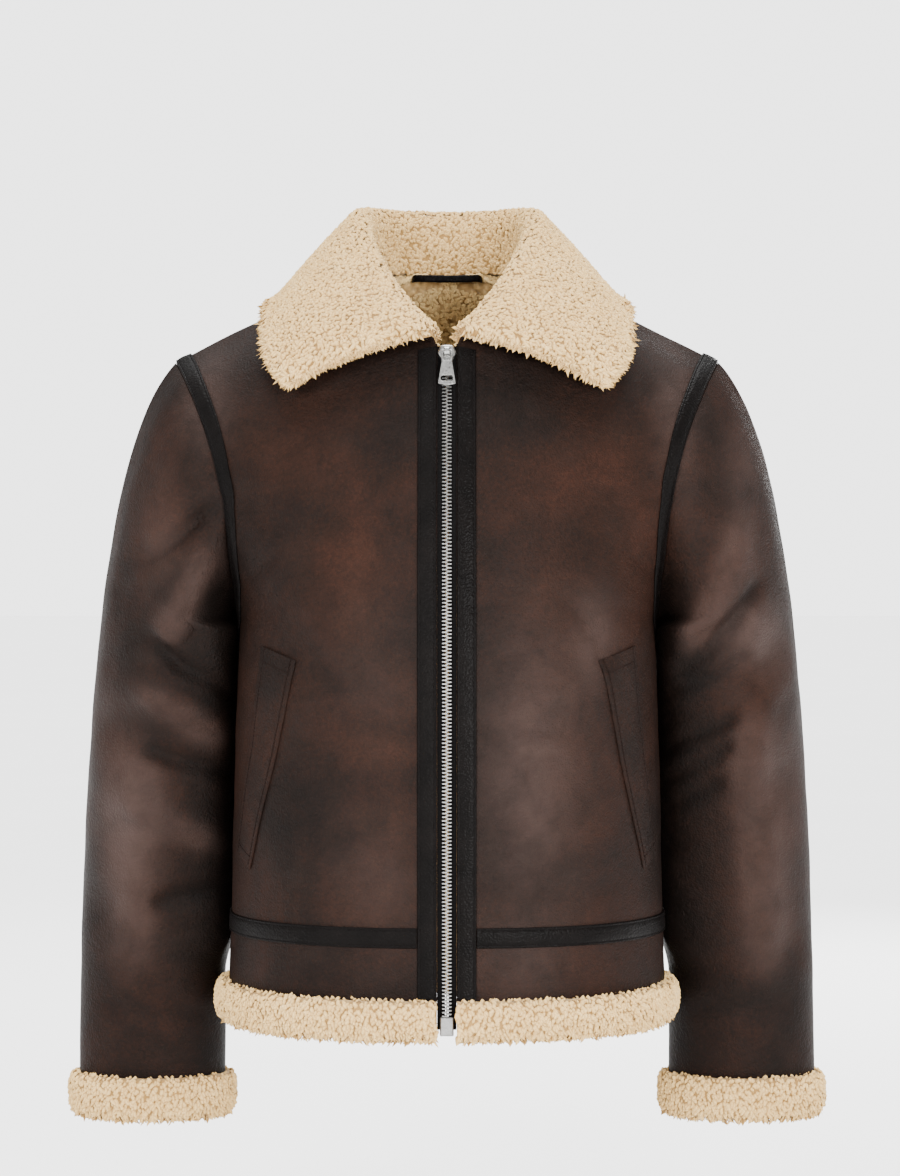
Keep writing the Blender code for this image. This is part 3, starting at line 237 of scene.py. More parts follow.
def bezier(a, b, c, d, t):
    return (1 - t) ** 3 * a + 3 * (1 - t) ** 2 * t * b + 3 * (1 - t) * t**2 * c + t**3 * d


def unit(vectors):
    vectors = np.asarray(vectors, float)
    return vectors / np.maximum(np.linalg.norm(vectors, axis=-1, keepdims=True), 1e-9)


# The leather's finer creases, in the same terms as the largest folds
CREASES = (
    # half face x0 z0 x1 z1 width depth
    Fold(1, -1, 98, -271, 112, -283, 6, -2.0),
    Fold(1, -1, 111, -281, 126, -316, 6, -3.2),
    Fold(1, -1, 88, -300, 104, -345, 16, 3.0),
    Fold(1, -1, 70, -400, 118, -470, 24, 2.0),
    Fold(1, -1, 150, -196, 176, -170, 9, -1.4),
    Fold(1, -1, 160, -236, 182, -252, 8, -1.8),
    Fold(1, -1, 140, -262, 176, -280, 9, 1.4),
    Fold(1, -1, 168, -330, 182, -420, 8, -1.6),
    Fold(-1, -1, 150, -236, 182, -262, 8, -1.8),
    Fold(-1, -1, 144, -206, 178, -178, 10, -1.5),
    Fold(-1, -1, 60, -190, 150, -230, 16, -1.6),
    Fold(-1, -1, 96, -330, 122, -312, 9, -1.0),
    Fold(-1, -1, 50, -350, 90, -410, 16, 1.6),
    Fold(-1, -1, 60, -520, 110, -512, 8, -0.9),
    Fold(1, -1, 60, -516, 130, -508, 8, -0.9),
    Fold(1, -1, 213, -328, 262, -262, 7, -3.4),
    Fold(1, -1, 214, -296, 240, -240, 12, 2.8),
    Fold(1, -1, 208, -346, 252, -318, 6, -2.4),
    Fold(1, -1, 204, -398, 240, -372, 7, -2.6),
    Fold(1, -1, 204, -426, 240, -396, 6, -1.8),
    Fold(1, -1, 204, -450, 230, -430, 7, -1.8),
    Fold(1, -1, 262, -400, 276, -560, 20, 3.0),
    Fold(1, -1, 250, -215, 262, -300, 14, 1.8),
    Fold(1, -1, 290, -360, 312, -340, 9, -1.4),
    Fold(1, -1, 226, -626, 286, -618, 9, -1.3),
    Fold(-1, -1, 196, -190, 256, -234, 7, -3.2),
    Fold(-1, -1, 206, -240, 240, -298, 12, 3.0),
    Fold(-1, -1, 196, -356, 246, -306, 7, -3.4),
    Fold(-1, -1, 198, -420, 250, -400, 7, -2.8),
    Fold(-1, -1, 196, -388, 250, -356, 12, 2.4),
    Fold(-1, -1, 262, -226, 284, -258, 8, -1.6),
    Fold(-1, -1, 262, -300, 290, -320, 8, -1.4),
    Fold(-1, -1, 206, -520, 246, -530, 8, -2.2),
    Fold(-1, -1, 214, -474, 262, -450, 12, 2.0),
    Fold(-1, -1, 262, -430, 272, -560, 20, 2.4),
    Fold(-1, -1, 232, -632, 292, -622, 9, -1.3),
    Fold(1, 1, 40, -120, 130, -150, 14, -1.6),
    Fold(-1, 1, 52, -132, 140, -160, 14, -1.5),
    Fold(1, 1, 110, -250, 168, -286, 10, -1.8),
    Fold(-1, 1, 104, -262, 166, -290, 10, -1.8),
    Fold(1, 1, 20, -470, 120, -452, 14, -1.3),
    Fold(-1, 1, 36, -500, 130, -486, 14, -1.3),
    Fold(1, 1, 222, -322, 284, -262, 8, -3.0),
    Fold(1, 1, 222, -290, 270, -232, 12, 2.2),
    Fold(1, 1, 218, -384, 290, -346, 8, -2.4),
    Fold(1, 1, 214, -466, 286, -436, 9, -2.0),
    Fold(1, 1, 262, -420, 272, -580, 22, 2.6),
    Fold(-1, 1, 222, -332, 286, -282, 8, -3.0),
    Fold(-1, 1, 222, -300, 270, -250, 12, 2.2),
    Fold(-1, 1, 218, -402, 292, -366, 8, -2.4),
    Fold(-1, 1, 216, -490, 286, -458, 9, -2.0),
    Fold(-1, 1, 262, -440, 272, -590, 22, 2.4),
)

# Points along the meshes, in the same heights as the panels' rows
FINE_SPANS = ((BAND_SEAM, UNDERARM, 56), (UNDERARM, FRONT_NECK, 42), (FRONT_NECK, BACK_NECK, 8), (BACK_NECK, SHOULDER, 10))
FRONT_CELLS, BACK_CELLS, SLEEVE_CELLS = 42, 42, 124

Panel = namedtuple("Panel", "rows neck neck_corner")
FRONT_PANEL = Panel(FRONT, NECK_FRONT, FRONT_NECK)
BACK_PANEL = Panel(BACK, NECK_BACK, BACK_NECK)
TORSO_MIDDLE = np.array((0.0, -25.0, -260.0))


def spans(table):
    """Heights with even steps inside each span."""
    rows = [np.linspace(a, b, n + 1)[:-1] for a, b, n in table]
    return np.concatenate(rows + [[table[-1][1]]])


FINE_ROWS = spans(FINE_SPANS)
ARM_ROWS = FINE_ROWS[FINE_ROWS >= UNDERARM]
BAND_FINE = np.linspace(HEM, BAND_SEAM, 12)


def eased(share):
    """0 below 0 and 1 above 1, with a soft start and end."""
    share = np.clip(share, 0.0, 1.0)
    return share * share * (3 - 2 * share)


def fold_height(points, outward, folds):
    """How far the folds move the cloth at these points, given which way it faces."""
    total = np.zeros(points.shape[:-1])
    for fold in folds:
        start = np.array((fold.half * fold.x0, fold.z0))
        along = np.array((fold.half * fold.x1, fold.z1)) - start
        length = np.linalg.norm(along)
        along = along / length
        offset = points[..., [0, 2]] - start
        run = offset @ along
        across = offset @ np.array((-along[1], along[0]))
        past = np.maximum(np.maximum(-run, run - length), 0.0)
        shape = np.exp(-((across / fold.width) ** 2) - (past / (1.4 * fold.width)) ** 2)
        total += fold.depth * shape * eased(fold.face * outward[..., 1])
    return total


def smooth_points(panel, u, v, mirror):
    """A panel's surface without folds at paired u and v."""
    u, v = np.broadcast_arrays(np.asarray(u, float), np.asarray(v, float))
    shape, u, v = u.shape, u.ravel()[:, None], v.ravel()
    rows, corner = panel.rows, panel.neck_corner
    knots = [row.v for row in rows]
    centre_knots = [row.v for row in rows if row.v < corner] + [knot for knot, _ in panel.neck]
    centre_points = [row.centre for row in rows if row.v < corner] + [point for _, point in panel.neck]
    centre = through_corner(centre_knots, centre_points, v, corner)
    side = through_corner(knots, [row.side for row in rows], v, UNDERARM)
    near_centre = through(knots, [row.near_centre for row in rows], v)
    near_side = through(knots, [row.near_side for row in rows], v)
    return (bezier(centre, near_centre, near_side, side, u) * (mirror, 1, 1)).reshape(*shape, 3)


def smooth_facing(panel, u, v, mirror):
    """Outward unit normals of the same surface."""
    u, v = np.broadcast_arrays(np.asarray(u, float), np.asarray(v, float))
    u0, u1 = np.clip(u - 1e-3, 0, 1), np.clip(u + 1e-3, 0, 1)
    v0, v1 = np.clip(v - 0.5, HEM, SHOULDER), np.clip(v + 0.5, HEM, SHOULDER)
    across = smooth_points(panel, u1, v, mirror) - smooth_points(panel, u0, v, mirror)
    up = smooth_points(panel, u, v1, mirror) - smooth_points(panel, u, v0, mirror)
    normal = unit(np.cross(across, up))
    points = smooth_points(panel, u, v, mirror)
    outward = ((points - TORSO_MIDDLE) * normal).sum(-1, keepdims=True)
    normal = normal * np.where(outward < 0, -1.0, 1.0)
    normal[np.abs(points[..., 0]) < 1e-6, 0] = 0.0
    return unit(normal)


def on_panel(panel, u, v, mirror):
    """Points with all their folds, and the outward normals."""
    points, normals = smooth_points(panel, u, v, mirror), smooth_facing(panel, u, v, mirror)
    height = fold_height(points, normals, FOLDS) + 1.4 * fold_height(points, normals, CREASES)
    return points + normals * (height + ripple(points))[..., None], normals


def ripple(points):
    """A soft unevenness of the hide."""
    x, y, z = points[..., 0], points[..., 1], points[..., 2]
    return (
        0.35 * np.sin(0.043 * x + 0.031 * z + 1.3) * np.sin(0.029 * z - 0.037 * y)
        + 0.22 * np.sin(0.091 * x - 0.077 * z + 0.4) * np.sin(0.083 * y + 0.059 * z)
    )


def grid_on(panel, u, v, mirror):
    return on_panel(panel, np.asarray(u)[None, :], np.asarray(v)[:, None], mirror)


def mitre(first, second, thick, most=2.2):
    """Where two walls that meet on one edge have their common inner corner, from the edge."""
    both = first + second
    share = np.maximum(1 + (first * second).sum(-1, keepdims=True), 0.35)
    corner = -both / share * thick
    length = np.linalg.norm(corner, axis=-1, keepdims=True)
    return corner * np.minimum(1.0, most * thick / np.maximum(length, 1e-9))


# Materials


class Nodes:
    """A material's node tree, with short calls for the nodes used here."""

    def __init__(self, name, roughness, metallic=0.0, specular=0.5, edge=1.0):
        self.material = bpy.data.materials.new(name)
        self.material.use_nodes = True
        self.tree = self.material.node_tree
        self.shader = self.tree.nodes["Principled BSDF"]
        self.shader.inputs["Roughness"].default_value = roughness
        self.shader.inputs["Metallic"].default_value = metallic
        self.shader.inputs["Specular IOR Level"].default_value = specular
        self.shader.inputs["Specular Tint"].default_value = (edge, edge, edge, 1.0)
        self.place = self.tree.nodes.new("ShaderNodeTexCoord").outputs["Object"]

    def link(self, source, node, socket):
        self.tree.links.new(source, node.inputs[socket])

    def scaled(self, x, y, z):
        node = self.tree.nodes.new("ShaderNodeMapping")
        node.inputs["Scale"].default_value = (x, y, z)
        self.link(self.place, node, "Vector")
        return node.outputs[0]

    def noise(self, scale, detail=4.0, rough=0.55, distortion=0.0, vector=None):
        node = self.tree.nodes.new("ShaderNodeTexNoise")
        for key, value in (("Scale", scale), ("Detail", detail), ("Roughness", rough), ("Distortion", distortion)):
            node.inputs[key].default_value = value
        self.link(vector or self.place, node, "Vector")
        return node.outputs["Fac"]

    def cells(self, scale, feature="F1", randomness=1.0, vector=None):
        node = self.tree.nodes.new("ShaderNodeTexVoronoi")
        node.feature = feature
        node.inputs["Scale"].default_value = scale
        node.inputs["Randomness"].default_value = randomness
        self.link(vector or self.place, node, "Vector")
        return node.outputs["Distance"]

    def attribute(self, name):
        node = self.tree.nodes.new("ShaderNodeAttribute")
        node.attribute_name = name
        return node.outputs["Fac"]

    def ramp(self, source, stops):
        node = self.tree.nodes.new("ShaderNodeValToRGB")
        ramp = node.color_ramp
        while len(ramp.elements) < len(stops):
            ramp.elements.new(0.5)
        for element, (place, colour) in zip(ramp.elements, stops):
            element.position = place
            element.color = (*colour, 1.0) if hasattr(colour, "__len__") else (colour, colour, colour, 1.0)
        self.link(source, node, "Fac")
        return node.outputs["Color"]

    def spread(self, source, low, high, to_low, to_high):
        node = self.tree.nodes.new("ShaderNodeMapRange")
        for key, value in (("From Min", low), ("From Max", high), ("To Min", to_low), ("To Max", to_high)):
            node.inputs[key].default_value = value
        self.link(source, node, "Value")
        return node.outputs["Result"]

    def maths(self, operation, a, b):
        node = self.tree.nodes.new("ShaderNodeMath")
        node.operation = operation
        for index, value in enumerate((a, b)):
            if isinstance(value, (int, float)):
                node.inputs[index].default_value = value
            else:
                self.tree.links.new(value, node.inputs[index])
        return node.outputs[0]

    def mix(self, factor, a, b, blend="MIX"):
        node = self.tree.nodes.new("ShaderNodeMix")
        node.data_type = "RGBA"
        node.blend_type = blend
        for socket, value in ((node.inputs[0], factor), (node.inputs[6], a), (node.inputs[7], b)):
            if isinstance(value, (int, float)):
                socket.default_value = value
            elif isinstance(value, tuple):
                socket.default_value = (*value, 1.0)
            else:
                self.tree.links.new(value, socket)
        return node.outputs[2]

    def bump(self, *layers):
        """Layers of (height, distance in metres, strength), finest last."""
        normal = None
        for height, distance, strength in layers:
            node = self.tree.nodes.new("ShaderNodeBump")
            node.inputs["Distance"].default_value = distance
            node.inputs["Strength"].default_value = strength
            self.link(height, node, "Height")
            if normal:
                self.link(normal, node, "Normal")
            normal = node.outputs[0]
        self.link(normal, self.shader, "Normal")

    def colour(self, source):
        self.link(source, self.shader, "Base Color")

    def roughness(self, source):
        self.link(source, self.shader, "Roughness")


def brown_leather(name="brown leather"):
    """Hand-rubbed hide: red-brown showing through a dark, greyer top coat, with a fine grain."""
    n = Nodes(name, 0.5, specular=0.09, edge=0.45)
    # This attribute holds the hide's red and dark mottle and, on the sleeves, painted shade in the creases and along
    # the body
    rub = n.attribute("rub")
    cloud = n.noise(8.5, 7.0, 0.62, 0.5)
    blotch = n.noise(30.0, 6.0, 0.66, 0.3)
    speck = n.noise(380.0, 4.0, 0.75)
    tone = n.maths("ADD", n.maths("MULTIPLY", cloud, 0.50), n.maths("MULTIPLY", blotch, 0.20))
    tone = n.maths("ADD", tone, n.maths("MULTIPLY", speck, 0.46))
    tone = n.maths("ADD", tone, n.maths("MULTIPLY", rub, 0.20))
    base = n.ramp(tone, (
        (0.42, (0.0030, 0.0020, 0.0016)),
        (0.55, (0.0062, 0.0034, 0.0025)),
        (0.67, (0.0125, 0.0054, 0.0035)),
        (0.84, (0.0250, 0.0094, 0.0056)),
    ))
    haze = n.noise(21.0, 6.0, 0.65, 0.2, n.scaled(1.0, 1.0, 1.3))
    dusty = n.spread(haze, 0.50, 0.74, 0.0, 0.30)
    base = n.mix(dusty, base, (0.0120, 0.0076, 0.0062))
    # Painted highlight: the colour mixed towards a paler grey where the table of painted highlights puts it, broken up
    # by noise
    painted_sheen = n.maths("MULTIPLY", n.attribute("bloom"), n.spread(blotch, 0.30, 0.62, 0.45, 1.0))
    n.colour(n.mix(n.maths("MULTIPLY", painted_sheen, 0.85), base, (0.0340, 0.0215, 0.0180)))
    pebble = n.cells(560.0, randomness=1.0)
    creases = n.noise(300.0, 3.0, 0.6, 0.8, n.scaled(1.0, 1.0, 0.7))
    wrinkle = n.noise(55.0, 5.0, 0.62, 1.4)
    n.roughness(n.spread(n.maths("ADD", speck, n.maths("MULTIPLY", cloud, 0.6)), 0.5, 1.1, 0.46, 0.68))
    n.bump((wrinkle, 0.0014, 0.55), (creases, 0.0008, 0.8), (pebble, 0.0005, 0.8))
    return n.material


def black_leather(name="black pebbled leather", gloss=0.4):
    n = Nodes(name, gloss, specular=0.08, edge=0.4)
    tone = n.noise(40.0, 4.0, 0.6)
    n.colour(n.ramp(tone, ((0.3, (0.0014, 0.0011, 0.0010)), (0.7, (0.0030, 0.0023, 0.0021)))))
    pebble = n.cells(620.0, "SMOOTH_F1", 1.0)
    edge = n.cells(620.0, "DISTANCE_TO_EDGE", 1.0)
    soft = n.noise(90.0, 3.0, 0.6)
    n.roughness(n.spread(edge, 0.0, 0.12, gloss + 0.22, gloss))
    n.bump((soft, 0.0008, 0.3), (pebble, 0.0006, 0.85))
    return n.material


def fleece(name="cream shearling"):
    """Curled pile: random tone over painted shade, lighter on the tops of the curls and darker on their undersides and
    on the ground between them.
    """
    n = Nodes(name, 0.95, specular=0.18)
    tone = n.attribute("tone")
    broad = n.noise(26.0, 3.0, 0.5)
    fine = n.noise(520.0, 3.0, 0.6)
    level = n.maths("ADD", n.maths("MULTIPLY", tone, 0.74), n.maths("MULTIPLY", broad, 0.16))
    level = n.maths("ADD", level, n.maths("MULTIPLY", fine, 0.12))
    # The darker stops are painted shade, reached by the ground between the curls and by the curls' undersides
    n.colour(n.ramp(level, (
        (0.12, (0.200, 0.104, 0.028)),
        (0.36, (0.350, 0.205, 0.066)),
        (0.62, (0.500, 0.318, 0.118)),
        (0.90, (0.610, 0.425, 0.182)),
    )))
    n.shader.inputs["Sheen Weight"].default_value = 0.35
    n.shader.inputs["Sheen Roughness"].default_value = 0.5
    n.shader.inputs["Sheen Tint"].default_value = (1.0, 0.87, 0.62, 1.0)
    strands = n.noise(900.0, 3.0, 0.65, 1.5)
    n.bump((n.noise(300.0, 3.0, 0.6, 0.5), 0.0012, 0.5), (strands, 0.0006, 0.6))
    return n.material


def lining(name="fleece inside"):
    """The same pile seen on the inside, where it is pressed flatter."""
    n = Nodes(name, 0.95, specular=0.15)
    curls = n.cells(230.0, "SMOOTH_F1", 1.0, n.scaled(1.0, 1.0, 0.6))
    fine = n.noise(500.0, 3.0, 0.6)
    # Darker between the curls: painted shade in the crevices, beside the bump
    level = n.maths("SUBTRACT", n.maths("ADD", 0.78, n.maths("MULTIPLY", fine, 0.25)), n.maths("MULTIPLY", curls, 0.9))
    n.colour(n.ramp(level, ((0.2, (0.21, 0.12, 0.04)), (0.55, (0.43, 0.275, 0.11)), (0.9, (0.60, 0.42, 0.19)))))
    n.shader.inputs["Sheen Weight"].default_value = 0.3
    n.bump((curls, 0.004, 0.9), (fine, 0.0006, 0.6))
    return n.material


def thread(name, colour):
    n = Nodes(name, 0.8, specular=0.08, edge=0.3)
    twist = n.noise(1500.0, 2.0, 0.5)
    n.colour(n.ramp(twist, ((0.35, tuple(0.6 * c for c in colour)), (0.65, colour))))
    n.bump((twist, 0.0002, 0.6))
    return n.material


def zip_cloth(name="zip tape weave"):
    n = Nodes(name, 0.8, specular=0.08, edge=0.4)
    rib = n.tree.nodes.new("ShaderNodeTexWave")
    rib.wave_type = "BANDS"
    rib.bands_direction = "Z"
    rib.inputs["Scale"].default_value = 420.0
    rib.inputs["Distortion"].default_value = 1.5
    n.link(n.place, rib, "Vector")
    n.colour(n.ramp(rib.outputs["Fac"], ((0.2, (0.0016, 0.0014, 0.0014)), (0.8, (0.0046, 0.0041, 0.0041)))))
    n.bump((rib.outputs["Fac"], 0.0004, 0.8))
    return n.material


def nickel(name="bright nickel", roughness=0.30, shade=0.46):
    n = Nodes(name, roughness, metallic=1.0)
    wear = n.noise(700.0, 4.0, 0.6)
    low, high = 0.50 * shade, 0.74 * shade
    n.colour(n.ramp(wear, ((0.3, (low, low * 0.985, low * 0.95)), (0.7, (high, high * 0.985, high * 0.95)))))
    n.roughness(n.spread(wear, 0.3, 0.7, roughness - 0.06, roughness + 0.12))
    n.bump((n.noise(240.0, 3.0, 0.6), 0.00015, 0.25))
    return n.material


# Meshes


def piece(name, points, faces, materials, slot, index=None, **attributes):
    """A smooth-shaded mesh object that rides with the garment."""
    mesh = bpy.data.meshes.new(name)
    faces = np.asarray(faces, np.int32)
    points = np.asarray(points, np.float32) * MM
    count, sides = faces.shape
    mesh.vertices.add(len(points))
    mesh.vertices.foreach_set("co", points.ravel())
    mesh.loops.add(count * sides)
    mesh.loops.foreach_set("vertex_index", faces.ravel())
    mesh.polygons.add(count)
    mesh.polygons.foreach_set("loop_start", np.arange(0, count * sides, sides, dtype=np.int32))
    for made in materials:
        mesh.materials.append(made)
    if index is not None:
        mesh.polygons.foreach_set("material_index", np.asarray(index, np.int32))
    for key, values in attributes.items():
        layer = mesh.attributes.new(key, "FLOAT", "POINT")
        layer.data.foreach_set("value", np.asarray(values, np.float32))
    mesh.update(calc_edges=True)
    mesh.validate()
    mesh.shade_smooth()
    mesh.set_sharp_from_angle(angle=math.radians(50))
    made = bpy.data.objects.new(name, mesh)
    bpy.context.scene.collection.objects.link(made)
    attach(made, GARMENT)
    return made


def grid_faces(rows, columns, closed=False):
    i, j = np.meshgrid(np.arange(rows - 1), np.arange(columns if closed else columns - 1), indexing="ij")
    i, j = i.ravel(), j.ravel()
    k = (j + 1) % columns
    return np.stack([i * columns + j, i * columns + k, (i + 1) * columns + k, (i + 1) * columns + j], axis=1)


def wound(points, outward, faces):
    """The faces wound so that most of them face outward."""
    a, b, c = points[faces[:, 0]], points[faces[:, 1]], points[faces[:, 2]]
    if (np.cross(b - a, c - a) * outward[faces[:, 0]]).sum() < 0:
        return faces[:, ::-1]
    return faces


def rim_of(faces):
    """Directed edges that belong to one face only."""
    edges = np.concatenate([faces[:, [i, (i + 1) % faces.shape[1]]] for i in range(faces.shape[1])])
    size = edges.max() + 1
    forward, back = edges[:, 0] * size + edges[:, 1], edges[:, 1] * size + edges[:, 0]
    return edges[~np.isin(forward, back)]


def area_of(points, faces):
    a, b, c, d = (points[faces[:, i]] for i in range(4))
    return (np.linalg.norm(np.cross(b - a, c - a), axis=1) + np.linalg.norm(np.cross(c - a, d - a), axis=1)).sum() / 2


def shell(name, outer, inward, faces, materials, slot, node, **attributes):
    """A closed wall: the outer sheet, its inner side and their rim. The inner side takes the second
    material where there is one."""
    outer, inward = outer.reshape(-1, 3), inward.reshape(-1, 3)
    faces = wound(outer, -inward, faces)
    count = len(outer)
    rim = rim_of(faces)
    rim = np.stack([rim[:, 1], rim[:, 0], rim[:, 0] + count, rim[:, 1] + count], axis=1)
    both = np.concatenate([faces, faces[:, ::-1] + count, rim])
    index = np.concatenate([np.zeros(len(faces)), np.full(len(faces), len(materials) - 1), np.zeros(len(rim))])
    attributes = {key: np.concatenate([values.ravel(), values.ravel()]) for key, values in attributes.items()}
    made = piece(name, np.concatenate([outer, outer + inward]), both, materials, slot, index, **attributes)
    if node:
        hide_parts(node)
    return made


def declare(width, length, area):
    """Works out a sheet's cut from its width and length in mm and its area in mm2, the area held between 0.31 and 1
    times width by length; nothing is kept or returned.
    """
    area = min(area * 1e-6, width * length * 1e-6)
    area = max(area, 0.31 * width * length * 1e-6)


def path_length(points):
    return float(np.linalg.norm(np.diff(points, axis=0), axis=1).sum())


# Red-brown places (above zero) and dark ones (below) on the leather, as seen from the front: which
# side of the garment, x, z, radius across and down, how strong
Rub = namedtuple("Rub", "face x z across down strength")
RUBS = (
    Rub(-1, 120, -160, 60, 60, 0.55),
    Rub(-1, 70, -230, 45, 60, 0.35),
    Rub(-1, 165, -250, 30, 70, 0.35),
    Rub(-1, 120, -300, 50, 30, 0.30),
    Rub(-1, 45, -420, 30, 90, -0.25),
    Rub(-1, 110, -400, 55, 50, 0.25),
    Rub(-1, 90, -500, 80, 30, -0.35),
    Rub(-1, 60, -110, 45, 40, -0.45),
    Rub(-1, 190, -90, 50, 30, -0.2),
    Rub(-1, -80, -220, 40, 70, 0.45),
    Rub(-1, -140, -160, 50, 50, 0.35),
    Rub(-1, -160, -260, 35, 60, 0.45),
    Rub(-1, -100, -330, 60, 40, 0.25),
    Rub(-1, -60, -420, 40, 60, 0.40),
    Rub(-1, -130, -450, 40, 50, -0.35),
    Rub(-1, -90, -520, 70, 25, 0.2),
    Rub(-1, -60, -120, 50, 40, -0.35),
    Rub(-1, -200, -110, 45, 40, -0.25),
    Rub(-1, -265, -230, 40, 60, 0.25),
    Rub(-1, -230, -330, 30, 60, -0.3),
    Rub(-1, -295, -400, 30, 90, 0.35),
    Rub(-1, -270, -520, 50, 50, 0.3),
    Rub(-1, -250, -620, 50, 50, -0.1),
    Rub(-1, 262, -150, 35, 60, 0.35),
    Rub(-1, 215, -190, 30, 50, 0.35),
    Rub(-1, 285, -330, 35, 80, 0.4),
    Rub(-1, 240, -400, 35, 60, -0.25),
    Rub(-1, 270, -480, 45, 60, 0.3),
    Rub(-1, 250, -590, 50, 60, -0.15),
    Rub(1, 90, -140, 60, 60, 0.45),
    Rub(1, -80, -180, 60, 60, 0.40),
    Rub(1, 0, -280, 80, 60, 0.35),
    Rub(1, -90, -420, 60, 60, 0.35),
    Rub(1, 100, -400, 60, 70, 0.30),
    Rub(1, 0, -500, 90, 30, -0.30),
    Rub(1, 0, -60, 120, 40, -0.40),
    Rub(1, 270, -260, 50, 70, 0.40),
    Rub(1, -270, -300, 50, 70, 0.40),
    Rub(1, 260, -480, 60, 60, 0.25),
    Rub(1, -260, -520, 60, 60, 0.25),
)


# Painted highlights on the leather, as seen from the front: x, z, radius across and down, how strong
PaintedHighlight = namedtuple("PaintedHighlight", "x z across down strength")
PAINTED_HIGHLIGHTS = (
    PaintedHighlight(70, -405, 40, 100, 0.85),
    PaintedHighlight(120, -300, 18, 34, 0.9),
    PaintedHighlight(58, -560, 50, 40, 0.4),
    PaintedHighlight(-60, -330, 40, 80, 0.25),
    PaintedHighlight(-58, -500, 40, 60, 0.35),
    PaintedHighlight(-285, -455, 26, 75, 0.9),
    PaintedHighlight(-245, -215, 22, 60, 0.45),
    PaintedHighlight(262, -300, 34, 28, 0.9),
    PaintedHighlight(295, -420, 20, 120, 0.5),
    PaintedHighlight(-205, -95, 22, 40, 0.9),
    PaintedHighlight(193, -105, 18, 60, 0.8),
    PaintedHighlight(255, -160, 25, 60, 0.45),
)


def bloom_of(points, outward):
    """Painted highlights: the leather made paler and greyer where it should catch the light, on the side that faces
    forwards.
    """
    total = np.zeros(points.shape[:-1])
    for bloom in PAINTED_HIGHLIGHTS:
        spot = ((points[..., 0] - bloom.x) / bloom.across) ** 2 + ((points[..., 2] - bloom.z) / bloom.down) ** 2
        total += bloom.strength * np.exp(-spot)
    return total * eased(0.5 - outward[..., 1])


def rub_of(points, outward):
    """How red or dark the hide is at each point."""
    total = np.zeros(points.shape[:-1])
    for rub in RUBS:
        spot = ((points[..., 0] - rub.x) / rub.across) ** 2 + ((points[..., 2] - rub.z) / rub.down) ** 2
        total += rub.strength * np.exp(-spot) * eased(0.5 + rub.face * outward[..., 1])
    return total


BROWN, LINING, FLEECE = brown_leather(), lining(), fleece()
BLACK, BLACK_SHINY = black_leather(gloss=0.44), black_leather("glossier pebbled leather", 0.32)
BLACK_THREAD, BROWN_THREAD = thread("black thread", (0.006, 0.005, 0.005)), thread("brown thread", (0.010, 0.006, 0.005))
# The second nickel is the same metal made darker: painted shade for the zip's teeth and for the box at its foot
TAPE_CLOTH, NICKEL, NICKEL_IN_PAINTED_SHADE = zip_cloth(), nickel(), nickel("nickel in painted shade", 0.36, 0.36)


# Torso


def armhole(mirror):
    """The armhole ring from under the arm up the front and down the back, with the body's normals."""
    front, front_out = on_panel(FRONT_PANEL, 1.0, ARM_ROWS, mirror)
    back, back_out = on_panel(BACK_PANEL, 1.0, ARM_ROWS, mirror)
    ring = np.concatenate([front, back[::-1][1:-1]])
    normals = np.concatenate([front_out, back_out[::-1][1:-1]])
    normals[0] = unit(front_out[0] + back_out[0])
    normals[len(ARM_ROWS) - 1] = unit(front_out[-1] + back_out[-1])
    return ring, normals


def half_panel(panel, cells, v, mirror, armhole_inward):
    """Half a panel as points, inward vectors, faces and normals."""
    u = np.linspace(0.0, 1.0, cells + 1)
    points, normals = grid_on(panel, u, v, mirror)
    inward = -normals * HIDE
    other = BACK_PANEL if panel is FRONT_PANEL else FRONT_PANEL
    on_side = v <= UNDERARM
    inward[on_side, -1] = mitre(normals[on_side, -1], smooth_facing(other, 1.0, v[on_side], mirror), HIDE)
    if v[-1] >= SHOULDER:
        inward[-1] = mitre(normals[-1], smooth_facing(other, u, SHOULDER, mirror), HIDE)
        inward[v >= UNDERARM, -1] = armhole_inward
    wobble = 1 + 0.16 * np.sin(points[..., 0] * 0.9) * np.sin(points[..., 2] * 1.1 + points[..., 1])
    inward[1:-1, 1:-1] *= wobble[1:-1, 1:-1, None]
    points[:, -1] += unit(points[:, -2] - points[:, -1]) * SEAM_GAP / 2
    if v[-1] >= SHOULDER or v[-1] == BAND_SEAM:
        points[-1] += unit(points[-2] - points[-1]) * SEAM_GAP / 2
    if v[0] == BAND_SEAM:
        points[0] += unit(points[1] - points[0]) * SEAM_GAP / 2
    return points, inward, grid_faces(*points.shape[:2]), normals


def armhole_corners(mirror):
    ring, body_out = armhole(mirror)
    corners = mitre(body_out, sleeve_normals(ring, [0.012], mirror)[0], HIDE)
    rows = len(ARM_ROWS)
    return corners[:rows], np.concatenate([corners[rows - 1:], corners[:1]])[::-1]


def joined(left, right):
    """Two half panels as one, with their shared points on the centre line merged."""
    points = np.concatenate([left[0].reshape(-1, 3), right[0].reshape(-1, 3)])
    inward = np.concatenate([left[1].reshape(-1, 3), right[1].reshape(-1, 3)])
    normals = np.concatenate([left[3].reshape(-1, 3), right[3].reshape(-1, 3)])
    faces = np.concatenate([left[2][:, ::-1], right[2] + len(left[0].reshape(-1, 3))])
    centre = np.abs(points[:, 0]) < 1e-6
    keys = np.round(points, 3)
    index = np.arange(len(points))
    seen = {}
    for i in np.flatnonzero(centre):
        index[i] = seen.setdefault(tuple(keys[i]), i)
    kept, new = np.unique(index, return_inverse=True)
    return points[kept], inward[kept], new.reshape(-1)[faces], normals[kept]


